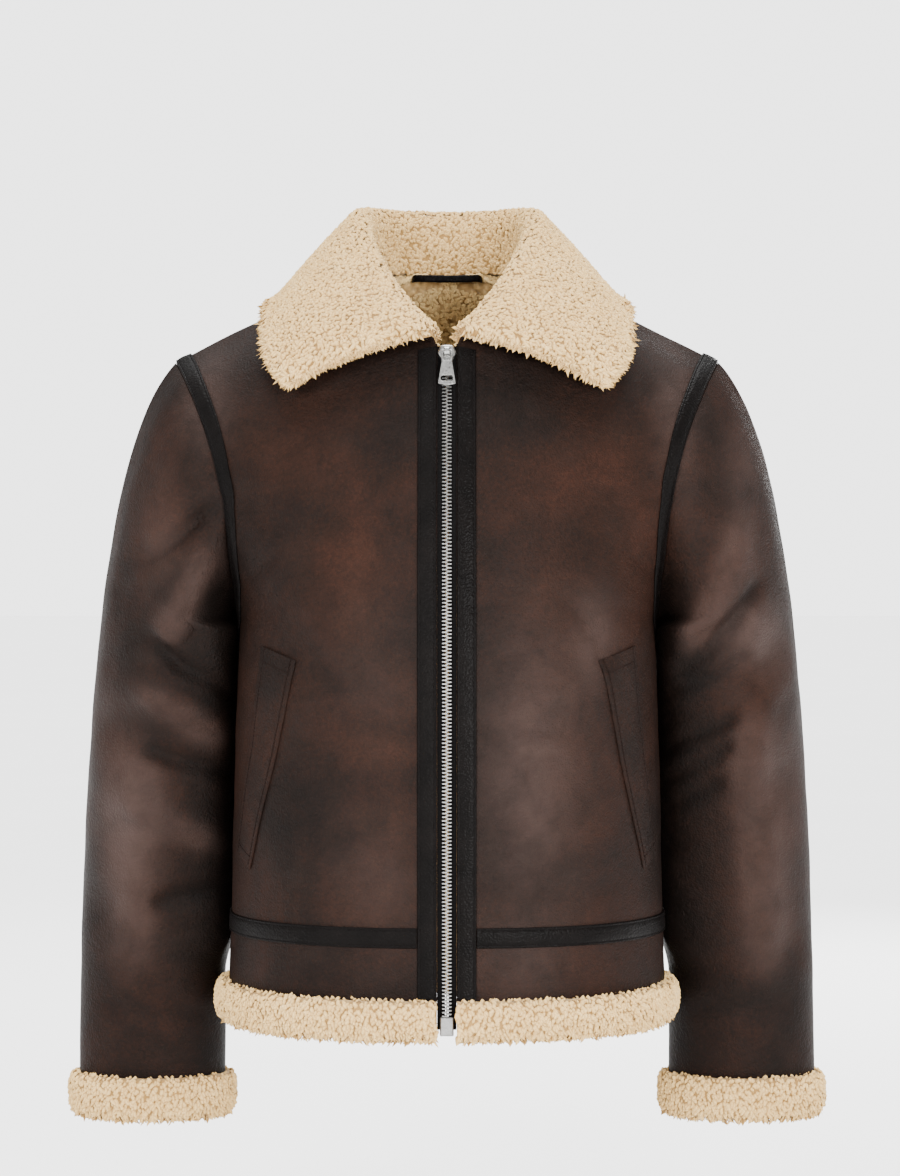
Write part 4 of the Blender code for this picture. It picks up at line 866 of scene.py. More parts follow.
def make_torso():
    halves = {}
    for side, mirror in (("left", -1), ("right", 1)):
        front_in, back_in = armhole_corners(mirror)
        for name, v in ((f"front_{side}", FINE_ROWS), (f"hem_band_front_{side}", BAND_FINE)):
            points, inward, faces, normals = half_panel(FRONT_PANEL, FRONT_CELLS, v, mirror, front_in)
            # Each front panel carries its mottle and its painted highlights as attributes
            made = shell(f"cloth_{name}", points, inward, faces, [BROWN, LINING], "leather_brown", name,
                         rub=rub_of(points, normals), bloom=bloom_of(points, normals))
            width, length = path_length(points[0]), path_length(points[:, len(points[0]) // 2])
            declare(width * 1.12, length * 1.1, area_of(points.reshape(-1, 3), faces))
        halves[side] = [
            half_panel(BACK_PANEL, BACK_CELLS, v, mirror, back_in) for v in (FINE_ROWS, BAND_FINE)
        ]
    for i, name in enumerate(("back_body", "hem_band_back")):
        left, right = halves["left"][i], halves["right"][i]
        points, inward, faces, normals = joined(left, right)
        # Each back panel carries its mottle and its painted highlights as attributes
        made = shell(f"cloth_{name}", points, inward, faces, [BROWN, LINING], "leather_brown", name,
                     rub=rub_of(points, normals), bloom=bloom_of(points, normals))
        width = path_length(left[0][0]) + path_length(right[0][0])
        declare(width * 1.12, path_length(left[0][:, 20]) * 1.1, area_of(points, faces))


BODY_CLEAR, SLEEVE_SLACK = 0.6, 15.0
TAPE_CLEAR = 1.7  # more, past the tape over the hem band's seam


# Sleeves


def four_way(lead, angle):
    """A value around the sleeve from its inner, front, outer and back ones."""
    inner, front, outer, back = (np.asarray(value, float) for value in lead)
    mean = (inner + front + outer + back) / 4
    twice = (inner + outer - front - back) / 4
    angle = np.asarray(angle)[:, None]
    return mean + np.cos(angle) * (inner - outer) / 2 + np.sin(angle) * (front - back) / 2 + np.cos(2 * angle) * twice


def ring_angles(ring):
    """Angle of each ring point, 0 under the arm, a right angle at the front and half a turn on top."""
    half = len(ring) // 2
    closed = np.concatenate([ring, ring[:1]])
    steps = np.linalg.norm(np.diff(closed, axis=0), axis=1)
    front = np.concatenate([[0], np.cumsum(steps[:half])])
    back = np.concatenate([[0], np.cumsum(steps[half:])])
    return np.concatenate([math.pi * front / front[-1], math.pi + math.pi * back[1:-1] / back[-1]])


def smooth_sleeve(ring, t, mirror):
    start = ring * np.array((mirror, 1, 1))
    angle = ring_angles(start)
    wrist = np.array(WRIST_CENTRE) + np.stack([
        -WRIST_HALF_WIDTH * np.cos(angle), -WRIST_HALF_DEPTH * np.sin(angle), 0 * angle], axis=1)
    leave, reach = start + four_way(FROM_ARMHOLE, angle), wrist + four_way(TO_WRIST, angle)
    t = np.asarray(t, float)[:, None, None]
    return bezier(start[None], leave[None], reach[None], wrist[None], t) * (mirror, 1, 1)


def sleeve_normals(ring, t, mirror):
    t = np.asarray(t, float)
    points = smooth_sleeve(ring, t, mirror)
    around = np.roll(points, -1, axis=1) - np.roll(points, 1, axis=1)
    down = smooth_sleeve(ring, np.minimum(t + 0.01, 1), mirror) - smooth_sleeve(ring, np.maximum(t - 0.01, 0), mirror)
    normal = unit(np.cross(around, down))
    outward = np.sign(((points - points.mean(axis=1, keepdims=True)) * normal).sum(-1).sum(-1))
    return normal * outward[:, None, None]


def sleeve_surface(mirror, t):
    """The sleeve's points and normals, its wrist drawn in a little where the cuff holds it."""
    ring, _ = armhole(mirror)
    normals = sleeve_normals(ring, t, mirror)
    normals[0] = sleeve_normals(ring, [0.012], mirror)[0]
    points = smooth_sleeve(ring, t, mirror)
    height = 1.1 * fold_height(points, normals, FOLDS) + 2.0 * fold_height(points, normals, CREASES) + ripple(points)
    fade = np.clip(t / 0.12, 0, 1)[:, None] * np.clip((1 - t) / 0.06, 0, 1)[:, None]
    points = points + normals * (height * fade)[..., None]
    return lean_on_body(points, normals, mirror), normals


def lean_on_body(points, normals, mirror):
    """The sleeve's inner side let out until it lies against the body, from the armpit to the hem."""
    v = np.linspace(HEM, UNDERARM, 40)
    side = grid_on(FRONT_PANEL, np.array((0.99, 1.0)), v, mirror)[0][:, -1]
    z = points[..., 2]
    order = np.argsort(side[:, 2])
    body = np.interp(z, side[order, 2], np.abs(side[order, 0])) + BODY_CLEAR
    tape = np.interp(BAND_SEAM, v, side[:, 2])
    body = body + TAPE_CLEAR * np.exp(-(((z - tape) / TAPE_WIDTH) ** 4))
    armpit = eased((z - side[-1, 2] + 30.0) / 30.0)
    facing = eased(np.clip(0.5 * armpit - normals[..., 0] * mirror, 0, 1) * 1.3)
    upper = eased((side[-1, 2] + 8.0 - z) / 10.0)
    lower = eased((z - side[0, 2] + 4.0) / 44.0)
    gap = np.clip(np.abs(points[..., 0]) - body, 0.0, SLEEVE_SLACK)
    near = gap * facing * upper * lower
    moved = points.copy()
    moved[..., 0] -= mirror * near
    return moved


def sleeve_mottle_and_painted_light(points, normals, mirror):
    """Mottle, painted shade and painted highlights of a sleeve: painted highlights on the ridges, painted shade in the
    valleys and along the body.
    """
    height = np.clip(fold_height(points, normals, CREASES), -1.6, 1.6)
    # Painted shade on the side that lies along the body, from below the armpit down
    inner = eased(np.clip(-normals[..., 0] * mirror, 0, 1)) * eased((-200.0 - points[..., 2]) / 70.0)
    # The mottle from the table, with painted shade in the crease valleys and on the side along the body, and the
    # ridges redder
    rub = rub_of(points, normals) + 0.22 * height - 0.75 * inner
    # Painted highlights from the table, plus painted highlights on the crease ridges that face forwards
    return rub, bloom_of(points, normals) + 0.34 * np.clip(height, 0, 2) * eased(0.6 - normals[..., 1])


def make_sleeves():
    for side, mirror in (("left", -1), ("right", 1)):
        t = np.linspace(0.0, 1.0, SLEEVE_CELLS + 1)
        points, normals = sleeve_surface(mirror, t)
        inward = -normals * HIDE
        inward[0] = mitre(armhole(mirror)[1], normals[0], HIDE)
        points[0] += unit(points[1] - points[0]) * SEAM_GAP * 1.3
        faces = grid_faces(len(t), points.shape[1], closed=True)
        # The sleeve's mottle with its painted shade, and its painted highlights
        rub, bloom = sleeve_mottle_and_painted_light(points, normals, mirror)
        made = shell(f"cloth_sleeve_{side}", points, inward, faces, [BROWN, LINING], "leather_brown", f"sleeve_{side}",
                     rub=rub, bloom=bloom)
        width = path_length(np.concatenate([points[5], points[5][:1]]))
        declare(width, path_length(points[:, points.shape[1] // 2]), area_of(points.reshape(-1, 3), faces))


# Fleece


# A clump of pile from root to tip: share of its length, of its girth and of its lift
CLUMP = ((0.0, 0.0, 0.0), (0.22, 0.95, 0.8), (0.7, 0.9, 1.0), (1.0, 0.0, 0.7))
WISP = ((0.0, 0.0, 0.0), (0.15, 0.9, 0.5), (0.55, 0.8, 1.0), (1.0, 0.0, 1.0))


def tufts(name, places, outward, length=4.9, width=3.3, lean=0.12, flow=None, form=CLUMP, follow=0.6, shade=0.0):
    """Small plump clumps of pile on a surface, each of two rings of four points and two ends."""
    count = len(places)
    random = RNG.random((count, 8))
    side = RNG.normal(size=(count, 3))
    side = unit(side - outward * (side * outward).sum(1, keepdims=True))
    if flow is not None:
        side = side * (1 - follow) + flow * follow
        side = unit(side - outward * (side * outward).sum(1, keepdims=True) * (1 - follow))
    bend = unit(np.cross(outward, side))
    length, width = np.reshape(length, (-1, 1)), np.reshape(width, (-1, 1))
    size = 0.78 + 0.5 * random[:, :1]
    long, wide = length * size * (0.85 + 0.35 * random[:, 1:2]), width * size
    curl = (random[:, 2:3] - 0.5) * 1.3
    tip = lean * (0.3 + 1.4 * random[:, 3:4])
    points, tones = [], []
    for along, girth, lift in form:
        centre = (
            places
            + side * long * (along - 0.5)
            + bend * curl * long * (along - 0.5) ** 2
            + outward * (wide * 0.3 * lift + long * tip * along**2 - wide * 0.12)
        )
        if girth == 0.0:
            points.append(centre[:, None])
            tones.append(np.full((count, 1), 0.3))
            continue
        angles = np.arange(4) * math.pi / 2
        ring = (
            centre[:, None]
            + bend[:, None] * (np.cos(angles)[None, :, None] * (wide * girth * 0.5)[:, None])
            + outward[:, None] * (np.sin(angles)[None, :, None] * (wide * girth * 0.42)[:, None])
        )
        points.append(ring)
        # Painted shade: each ring is lighter on its top and darker underneath, and the two ends are darker
        tones.append(np.tile(0.42 + 0.42 * np.sin(angles), (count, 1)))
    points = np.concatenate(points, axis=1)
    tones = np.concatenate(tones, axis=1) + (random[:, 4:5] - 0.5) * 0.22 + shade
    faces = [(0, 1 + (k + 1) % 4, 1 + k) for k in range(4)]
    for k in range(4):
        a, b, c, d = 1 + k, 1 + (k + 1) % 4, 5 + (k + 1) % 4, 5 + k
        faces += [(a, b, c), (a, c, d)]
    faces += [(9, 5 + k, 5 + (k + 1) % 4) for k in range(4)]
    faces = (np.array(faces)[None] + (np.arange(count) * 10)[:, None, None]).reshape(-1, 3)
    return piece(name, points.reshape(-1, 3), faces, [FLEECE], "fleece", tone=tones.ravel())


def scatter(points, normals, spacing, closed=False, spots=None):
    """Places spread evenly over a grid surface, about one in every square of the spacing."""
    if closed:
        points = np.concatenate([points, points[:, :1]], axis=1)
        normals = np.concatenate([normals, normals[:, :1]], axis=1)
    a, b, c, d = points[:-1, :-1], points[:-1, 1:], points[1:, 1:], points[1:, :-1]
    area = np.linalg.norm(np.cross(c - a, d - b), axis=-1) / 2
    count = np.floor(area / spacing**2 + RNG.random(area.shape)).astype(int)
    i, j = np.nonzero(count)
    i, j = np.repeat(i, count[i, j]), np.repeat(j, count[np.nonzero(count)])
    s, t = RNG.random((2, len(i), 1))

    def blend(grid):
        return (grid[i, j] * (1 - s) * (1 - t) + grid[i, j + 1] * (1 - s) * t + grid[i + 1, j] * s * (1 - t)
                + grid[i + 1, j + 1] * s * t)

    return blend(points), unit(blend(normals)), i + s[:, 0], j + t[:, 0]


def pile_bump(points, amount):
    """Knobbly height of the pile's ground."""
    x, y, z = points[..., 0], points[..., 1], points[..., 2]
    return amount * (
        np.sin(1.35 * x + 0.7 * y) * np.sin(1.25 * z + 0.5 * x) + 0.7 * np.sin(0.9 * y - 1.1 * z + 0.8) * np.sin(0.8 * x + 0.4 * z)
    )


def grid_normals(points, closed_rows=False, closed_columns=False):
    """Normals of a grid of points, either way of which may close on itself."""
    def slope(axis, closed):
        if closed:
            return np.roll(points, -1, axis=axis) - np.roll(points, 1, axis=axis)
        return np.gradient(points, axis=axis)
    return unit(np.cross(slope(0, closed_rows), slope(1, closed_columns)))


def smooth_section(section, count):
    """A closed section's corners as an even, rounded loop of points."""
    corners = np.array(section, float)
    closed = np.concatenate([corners[-2:], corners, corners[:3]])
    knots = np.arange(len(closed)) - 2.0
    at = np.linspace(0, len(corners), 400, endpoint=False)
    loop = through(knots, closed, at)
    steps = np.concatenate([[0], np.cumsum(np.linalg.norm(np.diff(np.concatenate([loop, loop[:1]]), axis=0), axis=1))])
    even = np.linspace(0, steps[-1], count, endpoint=False)
    return np.stack([np.interp(even, steps, np.append(loop[:, k], loop[0, k])) for k in range(2)], axis=1)


PILE_LAP = 1.9  # how far the pile laps up over the leather it hangs from


def fleece_band(name, node, path, outward, section, closed, spacing=2.75, shrink=2.0):
    """A band of pile along a leather edge: a knobbly core with curls all over it."""
    outward = unit(outward * np.array((1, 1, 0)))
    loop = smooth_section(section, 34)
    middle = loop.mean(axis=0)
    away = unit(loop - middle)
    loop = loop - away * shrink
    points = path[:, None] + outward[:, None] * loop[None, :, :1]
    points[..., 2] += loop[:, 1] + PILE_LAP
    normals = grid_normals(points, closed_rows=closed, closed_columns=True)
    centre = points.mean(axis=1, keepdims=True)
    normals = normals * np.sign(((points - centre) * normals).sum())
    ground = points + normals * pile_bump(points, 0.35)[..., None]
    stations, around = points.shape[:2]
    faces = grid_faces(stations, around, closed=True)
    if closed:
        last = (stations - 1) * around
        k = np.arange(around)
        faces = np.concatenate([faces, np.stack([last + k, last + (k + 1) % around, (k + 1) % around, k], axis=1)])
    flat = ground.reshape(-1, 3)
    if not closed:
        ends = np.stack([ground[0].mean(axis=0), ground[-1].mean(axis=0)])
        flat = np.concatenate([flat, ends])
        k = np.arange(around)
        first, last = len(flat) - 2, len(flat) - 1
        low = (stations - 1) * around
        caps = np.concatenate([
            np.stack([k, k, (k + 1) % around, np.full(around, first)], axis=1)[:, [0, 2, 3, 3]],
            np.stack([low + (k + 1) % around, low + k, np.full(around, last), np.full(around, last)], axis=1),
        ])
        triangles = np.concatenate([faces[:, [0, 1, 2]], faces[:, [0, 2, 3]], caps[:, :3]])
    else:
        triangles = np.concatenate([faces[:, [0, 1, 2]], faces[:, [0, 2, 3]]])
    outer_normals = np.concatenate([normals.reshape(-1, 3), np.zeros((len(flat) - stations * around, 3))])
    triangles = wound(flat, outer_normals, triangles)
    # The ground between the curls takes the darkest tone: painted shade in the crevices
    core = piece(f"ground_{name}", flat, triangles, [FLEECE], "fleece", tone=np.full(len(flat), 0.12))
    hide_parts(node)
    wide_points = np.concatenate([points, points[:1]]) if closed else points
    wide_normals = np.concatenate([normals, normals[:1]]) if closed else normals
    places, facing, row, column = scatter(wide_points, wide_normals, spacing, closed=True)
    hidden = (facing * outward[np.clip(row.astype(int), 0, stations - 1)]).sum(1) < -0.3
    hidden |= facing[:, 2] > 0.8
    kept = ~hidden | (RNG.random(len(places)) < 0.35)
    places, facing = places[kept], facing[kept]
    low = np.clip((-facing[:, 2] - 0.2) / 0.8, 0.0, 1.0)
    down = np.zeros_like(facing)
    down[:, 2] = -1.0
    curls = tufts(f"pile_{name}", places, facing, flow=down, length=4.9 + 2.2 * low, lean=0.2)
    girth = np.linalg.norm(np.diff(np.concatenate([loop, loop[:1]]), axis=0), axis=1).sum()
    length = path_length(np.concatenate([path, path[:1]]) if closed else path)
    declare(girth / 2, length, girth * length / 2)
    return core


def hem_path(panel, cells, mirror):
    points, normals = on_panel(panel, np.linspace(0.0, 1.0, cells + 1), HEM, mirror)
    points[-1] += unit(points[-2] - points[-1]) * SEAM_GAP / 2
    normals[-1] = (mirror, 0, 0)
    return points, normals


def make_fleece_edges():
    for side, mirror in (("left", -1), ("right", 1)):
        points, normals = hem_path(FRONT_PANEL, 90, mirror)
        points[0, 0] = mirror * (FRONT_EDGE + 0.2)
        normals[0] = (0, -1, 0)
        fleece_band(f"hem_front_{side}", f"hem_fleece_front_{side}", points, normals, HEM_SECTION, False)
        ring, normals = sleeve_surface(mirror, np.array([0.98, 1.0]))
        fleece_band(f"cuff_{side}", f"cuff_fleece_{side}", ring[-1], normals[-1], CUFF_SECTION, True)
    left, left_out = hem_path(BACK_PANEL, 90, -1)
    right, right_out = hem_path(BACK_PANEL, 90, 1)
    path, outward = np.concatenate([left[::-1], right[1:]]), np.concatenate([left_out[::-1], right_out[1:]])
    fleece_band("hem_back", "hem_fleece_back", path, outward, HEM_SECTION, False, spacing=3.0)


# Collar


def neck_edge(mirror):
    """The body's neck edge from the centre back to the front end, with normals and stations."""
    back_rows, front_rows = FINE_ROWS[FINE_ROWS >= BACK_NECK], FINE_ROWS[FINE_ROWS >= FRONT_NECK]
    back, back_out = on_panel(BACK_PANEL, 0.0, back_rows, mirror)
    front, front_out = on_panel(FRONT_PANEL, 0.0, front_rows, mirror)
    points = np.concatenate([back, front[::-1][1:]])
    normals = np.concatenate([back_out, front_out[::-1][1:]])
    lengths = np.concatenate([[0], np.cumsum(np.linalg.norm(np.diff(points, axis=0), axis=1))])
    at_side = lengths[len(back_rows) - 1]
    stations = np.where(
        lengths <= at_side,
        SIDE_NECK_STATION * lengths / at_side,
        SIDE_NECK_STATION + (1 - SIDE_NECK_STATION) * (lengths - at_side) / (lengths[-1] - at_side),
    )
    return points, normals, stations


def torso_tree():
    points, faces, base = [], [], 0
    for panel, cells in ((FRONT_PANEL, 40), (BACK_PANEL, 40)):
        for mirror in (-1, 1):
            grid = grid_on(panel, np.linspace(0, 1, cells + 1), FINE_ROWS[::2], mirror)[0]
            points.append(grid.reshape(-1, 3))
            faces.append(grid_faces(*grid.shape[:2]) + base)
            base += grid.shape[0] * grid.shape[1]
    return BVHTree.FromPolygons(np.concatenate(points).tolist(), np.concatenate(faces).tolist())


def collar_core(mirror, tree, count=26):
    """The middle of the collar's thickness, station by station, as in the solids."""
    neck, neck_out, neck_stations = neck_edge(mirror)
    stations = np.linspace(0.0, 1.0, count)
    flip = np.array((mirror, 1, 1))
    knots = [station.s for station in COLLAR]
    folds = through(knots, [station.fold for station in COLLAR], stations) * flip
    edges = through(knots, [station.leaf_edge for station in COLLAR], stations) * flip
    base = np.stack([np.interp(stations, neck_stations, neck[:, i]) for i in range(3)], axis=1)
    base_out = unit(np.stack([np.interp(stations, neck_stations, neck_out[:, i]) for i in range(3)], axis=1))
    centre = np.array((0.0, -10.0, 0.0))
    lines = []
    for point, out, top, edge in zip(base, base_out, folds, edges):
        height = np.linalg.norm(top - point)
        up = unit(top - point)
        outward = unit((top - centre) * np.array((1, 1, 0)))
        spread, drop = min(3.4, 0.3 * height), min(7.0, 0.3 * height)
        level = unit(out - up * (out @ up))
        start = point + up * 0.8 - level * LEATHER
        stand_top = top - outward * spread - up * drop
        leaf = edge - top
        leaf_top = top + outward * spread + unit(leaf) * drop
        lift = unit(np.cross(np.cross(leaf, outward + np.array((0, 0, 1.0))), leaf))
        line = [start + (stand_top - start) * step for step in STAND_STEPS]
        line += [stand_top, top, leaf_top]
        for step in LEAF_STEPS[1:]:
            line.append(leaf_top + (edge - leaf_top) * step + lift * LEAF_BULGE * 4 * step * (1 - step) * 0.9)
        lines.append(line)
    core = np.array(lines)
    for column, row in np.ndindex(core.shape[:2]):
        if row < len(STAND_STEPS) + 3:
            continue
        point = core[column, row]
        near, normal, _, _ = tree.find_nearest(Vector(point))
        normal = np.array(normal)
        normal *= 1.0 if normal @ (np.array(near) - np.array((0, -10, -200.0))) > 0 else -1.0
        clear = (point - np.array(near)) @ normal
        needed = LEATHER + LEAF_CLEAR
        if clear < needed:
            core[column, row] = point + normal * (needed - clear)
    return core


def refined(core, columns, rows):
    """A coarse grid read through smooth curves both ways, even in length down each column."""
    wide = through(np.arange(len(core)), core.reshape(len(core), -1), np.linspace(0, len(core) - 1, columns))
    wide = wide.reshape(columns, core.shape[1], 3)
    fine = []
    for line in wide:
        knots = np.concatenate([[0], np.cumsum(np.linalg.norm(np.diff(line, axis=0), axis=1))])
        fine.append(through(knots, line, np.linspace(0, knots[-1], rows)))
    return np.array(fine)


def make_collar():
    tree = torso_tree()
    centre = np.array((0.0, -10.0, 30.0))
    for side, mirror in (("left", -1), ("right", 1)):
        core = refined(collar_core(mirror, tree), 96, 64)
        normals = grid_normals(core)
        normals = normals * np.sign(normals[0, 0] @ (centre - core[0, 0]))
        core[0, :, 0] = 0.0
        normals[0, :, 0] = 0.0
        normals = unit(normals)
        leaf_end = np.clip(np.linspace(1, 0, 64) * path_length(core[10]) / 9.0, 0, 1)
        front_end = np.clip(np.linspace(1, 0, 96) * 250 / 8.0, 0, 1)
        round_off = np.sqrt(1 - (1 - leaf_end[None, :]) ** 2) * np.sqrt(1 - (1 - front_end[:, None]) ** 2)
        thick = 0.8 + (COLLAR_FLEECE - 3.2) * round_off
        outer = core + normals * (SEAM_GAP / 2 + thick)[..., None]
        ground = outer + normals * (pile_bump(outer, 0.35) * round_off)[..., None]
        rows, columns = (np.append(np.arange(0, count - 1, 2), count - 1) for count in core.shape[:2])
        coarse = np.ix_(rows, columns)
        faces = grid_faces(len(rows), len(columns))
        # The ground between the curls takes the darkest tone: painted shade in the crevices
        made = shell(f"ground_collar_{side}", ground[coarse], (-normals * thick[..., None])[coarse], faces, [FLEECE],
                     "fleece", "collar_upper", tone=np.full((len(rows), len(columns)), 0.12))
        facing = grid_normals(outer)
        facing = facing * np.sign((facing * normals).sum())
        places, out, row, column = scatter(outer, facing, 2.84)
        down = np.gradient(core, axis=1)
        along = np.gradient(core, axis=0)
        i, j = np.clip(row.astype(int), 0, 95), np.clip(column.astype(int), 0, 63)
        to_edge = path_length(core[40]) * (1 - column / 63)
        to_front = 250 * (1 - row / 95)
        near_edge = np.clip(1 - to_edge / 13.0, 0, 1)
        near_front = np.clip(1 - to_front / 9.0, 0, 1)
        near = np.maximum(near_edge, near_front)
        flow = unit(unit(down[i, j]) * (0.4 + near_edge)[:, None] + unit(along[i, j]) * near_front[:, None])
        curls = tufts(f"pile_collar_{side}", places, out, flow=flow, length=4.7 + 3.8 * near, width=3.2 - 0.5 * near,
                      lean=0.12 + 0.2 * near[:, None], follow=0.25 + 0.5 * near[:, None], form=CLUMP,
                      shade=0.12 * near[:, None])
        width, length = path_length(core[:, 30]), path_length(core[10])
        declare(width * 1.25, length * 1.15, area_of(outer[coarse].reshape(-1, 3), faces))
        leather, away = (core - normals * (SEAM_GAP / 2 + LEATHER))[coarse], normals[coarse]
        under = shell(f"cloth_under_collar_{side}", leather, away * LEATHER, faces, [BROWN], "leather_brown",
                      "collar_under", rub=rub_of(leather, -away))
        declare(width * 1.25, length * 1.15, area_of(leather.reshape(-1, 3), faces))


def make_fringe():
    """Longer wisps along the collar's free edges, and the pile inside the back neck."""
    tree = torso_tree()
    for side, mirror in (("left", -1), ("right", 1)):
        core = refined(collar_core(mirror, tree), 96, 64)
        normals = grid_normals(core)
        normals = unit(normals * np.sign(normals[0, 0] @ (np.array((0.0, -10.0, 30.0)) - core[0, 0])))
        spots, out, flow = [], [], []
        for edge, inner, facing, step in ((core[:, -1], core[:, -3], normals[:, -2], 0.9),
                                          (core[-1, 14:], core[-3, 14:], normals[-2, 14:], 0.9)):
            steps = np.concatenate([[0], np.cumsum(np.linalg.norm(np.diff(edge, axis=0), axis=1))])
            at = np.arange(0, steps[-1], step)
            at = np.repeat(at, 2) + RNG.uniform(-0.6, 0.6, 2 * len(at))

            def read(values):
                return np.stack([np.interp(at, steps, values[:, k]) for k in range(3)], axis=1)

            away = unit(read(edge - inner))
            lift = RNG.uniform(0.3, 6.0, (len(at), 1))
            spots.append(read(edge) + read(facing) * lift + away * (1.2 - 0.25 * lift))
            out.append(unit(read(facing) + away * 0.6))
            flow.append(unit(away + RNG.normal(size=away.shape) * 0.35))
        spots, out, flow = (np.concatenate(part) for part in (spots, out, flow))
        tufts(f"fringe_collar_{side}", spots, out, flow=flow, length=7.5, width=1.9, lean=0.1, form=WISP, follow=0.8,
              shade=0.1)
        u, v = np.linspace(0.0, 0.68, 30), np.linspace(465.0, BACK_NECK - 1.0, 30)
        points, back_out = grid_on(BACK_PANEL, u, v, mirror)
        places, facing, _, _ = scatter(points - back_out * (HIDE + 0.6), -back_out, 3.3)
        neck, neck_out, _ = neck_edge(mirror)
        steps = np.concatenate([[0], np.cumsum(np.linalg.norm(np.diff(neck, axis=0), axis=1))])
        at = np.repeat(np.arange(0, steps[-1], 2.2), 4)
        rim = np.stack([np.interp(at, steps, neck[:, k]) for k in range(3)], axis=1)
        inside = -unit(np.stack([np.interp(at, steps, neck_out[:, k]) for k in range(3)], axis=1))
        depth = np.tile((5.0, 6.8, 8.6, 10.0), len(at) // 4)[:, None]
        low = rim + inside * depth + np.array((0, 0, 1.0)) * np.tile((0.0, -0.4, 0.6, 1.6), len(at) // 4)[:, None]
        under = rim + inside * (depth - 2.0) + np.array((0, 0, 1.8))
        down = unit(inside + np.array((0, 0, -1.2)))
        places = np.concatenate([places, low, under])
        facing = np.concatenate([facing, inside, down])
        # The pile inside the back neck is made much lighter: painted light against the shade of that hollow
        tufts(f"pile_back_neck_{side}", places, facing, lean=0.15, shade=1.1)


def make_hanger_loop():
    """A padded strip across the inside of the back neck, its ends turned back into the fleece."""
    share = np.linspace(-1.0, 1.0, 80)
    back = np.array(NECK_BACK[0][1], float)
    wall = back[1] - LEATHER - COLLAR_FLEECE - LOOP_SEAT
    past = np.maximum(np.abs(share) - 0.9, 0.0) / 0.1
    y = wall - LOOP_CURVE * share**2 - LOOP_STAND_OFF * (1 - share**4) + 4.0 * past**2
    z = back[2] + LOOP_RISE - LOOP_HEIGHT / 2 - 0.9 * (1 - share**2) - 1.5 * past**2
    middle = np.stack([LOOP_HALF * share, y - LOOP_THICK / 2, z], axis=1)
    along = unit(np.gradient(middle, axis=0))
    across = unit(np.cross(along, np.tile((0, 0, 1.0), (len(share), 1))))
    up = np.cross(across, along)
    angles = np.linspace(0, 2 * math.pi, 20, endpoint=False)
    ridge = 1 + 0.10 * np.cos(share * 130.0)[:, None] * np.ones(20)
    size = np.clip(1.0 - 0.35 * past**2, 0.3, 1)[:, None]
    points = (
        middle[:, None]
        + across[:, None] * (np.sign(np.cos(angles)) * np.abs(np.cos(angles)) ** 0.8 * 1.5 * ridge * size)[..., None]
        + up[:, None] * (np.sign(np.sin(angles)) * np.abs(np.sin(angles)) ** 0.8 * 3.3 * size)[..., None]
    )
    flat = points.reshape(-1, 3)
    faces = grid_faces(80, 20, closed=True)
    triangles = np.concatenate([faces[:, [0, 1, 2]], faces[:, [0, 2, 3]]])
    ends = [(0, i, i + 1) for i in range(1, 19)] + [(1580, 1580 + i + 1, 1580 + i) for i in range(1, 19)]
    triangles = wound(flat, (points - middle[:, None]).reshape(-1, 3), triangles)
    made = piece("rolled_loop", flat, np.concatenate([triangles, ends]), [BLACK_SHINY], "leather_black")
    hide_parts("hanger_loop")


# Strips with stitched edges

# Across a strip: share of its width and of its thickness
STRIP_SECTION = ((0.0, 0.25), (0.025, 0.8), (0.07, 0.98), (0.125, 0.66), (0.18, 1.02), (0.34, 1.12), (0.5, 1.15),
                 (0.66, 1.12), (0.82, 1.02), (0.875, 0.66), (0.93, 0.98), (0.975, 0.8), (1.0, 0.25))
STITCH_SHARES = (0.125, 0.875)


def stitches(name, lines, material, slot, pitch=4.3, length=2.9, radius=0.42):
    """Rows of short stitches along lines of points with normals."""
    points, faces, base = [], [], 0
    for line, normals in lines:
        steps = np.concatenate([[0], np.cumsum(np.linalg.norm(np.diff(line, axis=0), axis=1))])
        at = np.arange(pitch / 2, steps[-1] - pitch / 2, pitch)
        if len(at) == 0:
            continue

        def read(values, where):
            return np.stack([np.interp(where, steps, values[:, k]) for k in range(3)], axis=1)

        middle, out = read(line, at), unit(read(normals, at))
        along = unit(read(line, np.minimum(at + 0.8, steps[-1])) - read(line, np.maximum(at - 0.8, 0)))
        across = np.cross(out, along)
        for share, girth in ((-0.5, 0.35), (-0.25, 1.0), (0.25, 1.0), (0.5, 0.35)):
            for angle in (0.25, 0.75, 1.25, 1.75):
                turn = angle * math.pi
                points.append(
                    middle + along * length * share + (across * math.cos(turn) + out * math.sin(turn)) * radius * girth
                    + out * (radius * 0.35 * girth)
                )
        count = len(at)
        cell = np.arange(16).reshape(4, 4)
        quads = [(cell[i, k], cell[i, (k + 1) % 4], cell[i + 1, (k + 1) % 4], cell[i + 1, k]) for i in range(3) for k in range(4)]
        quads += [tuple(cell[0][::-1]), tuple(cell[3])]
        quads = np.array(quads)
        faces.append((quads[None] * count + np.arange(count)[:, None, None]).reshape(-1, 4) + base)
        base += 16 * count
    flat = np.concatenate(points)
    return piece(name, flat, np.concatenate(faces), [material], slot)


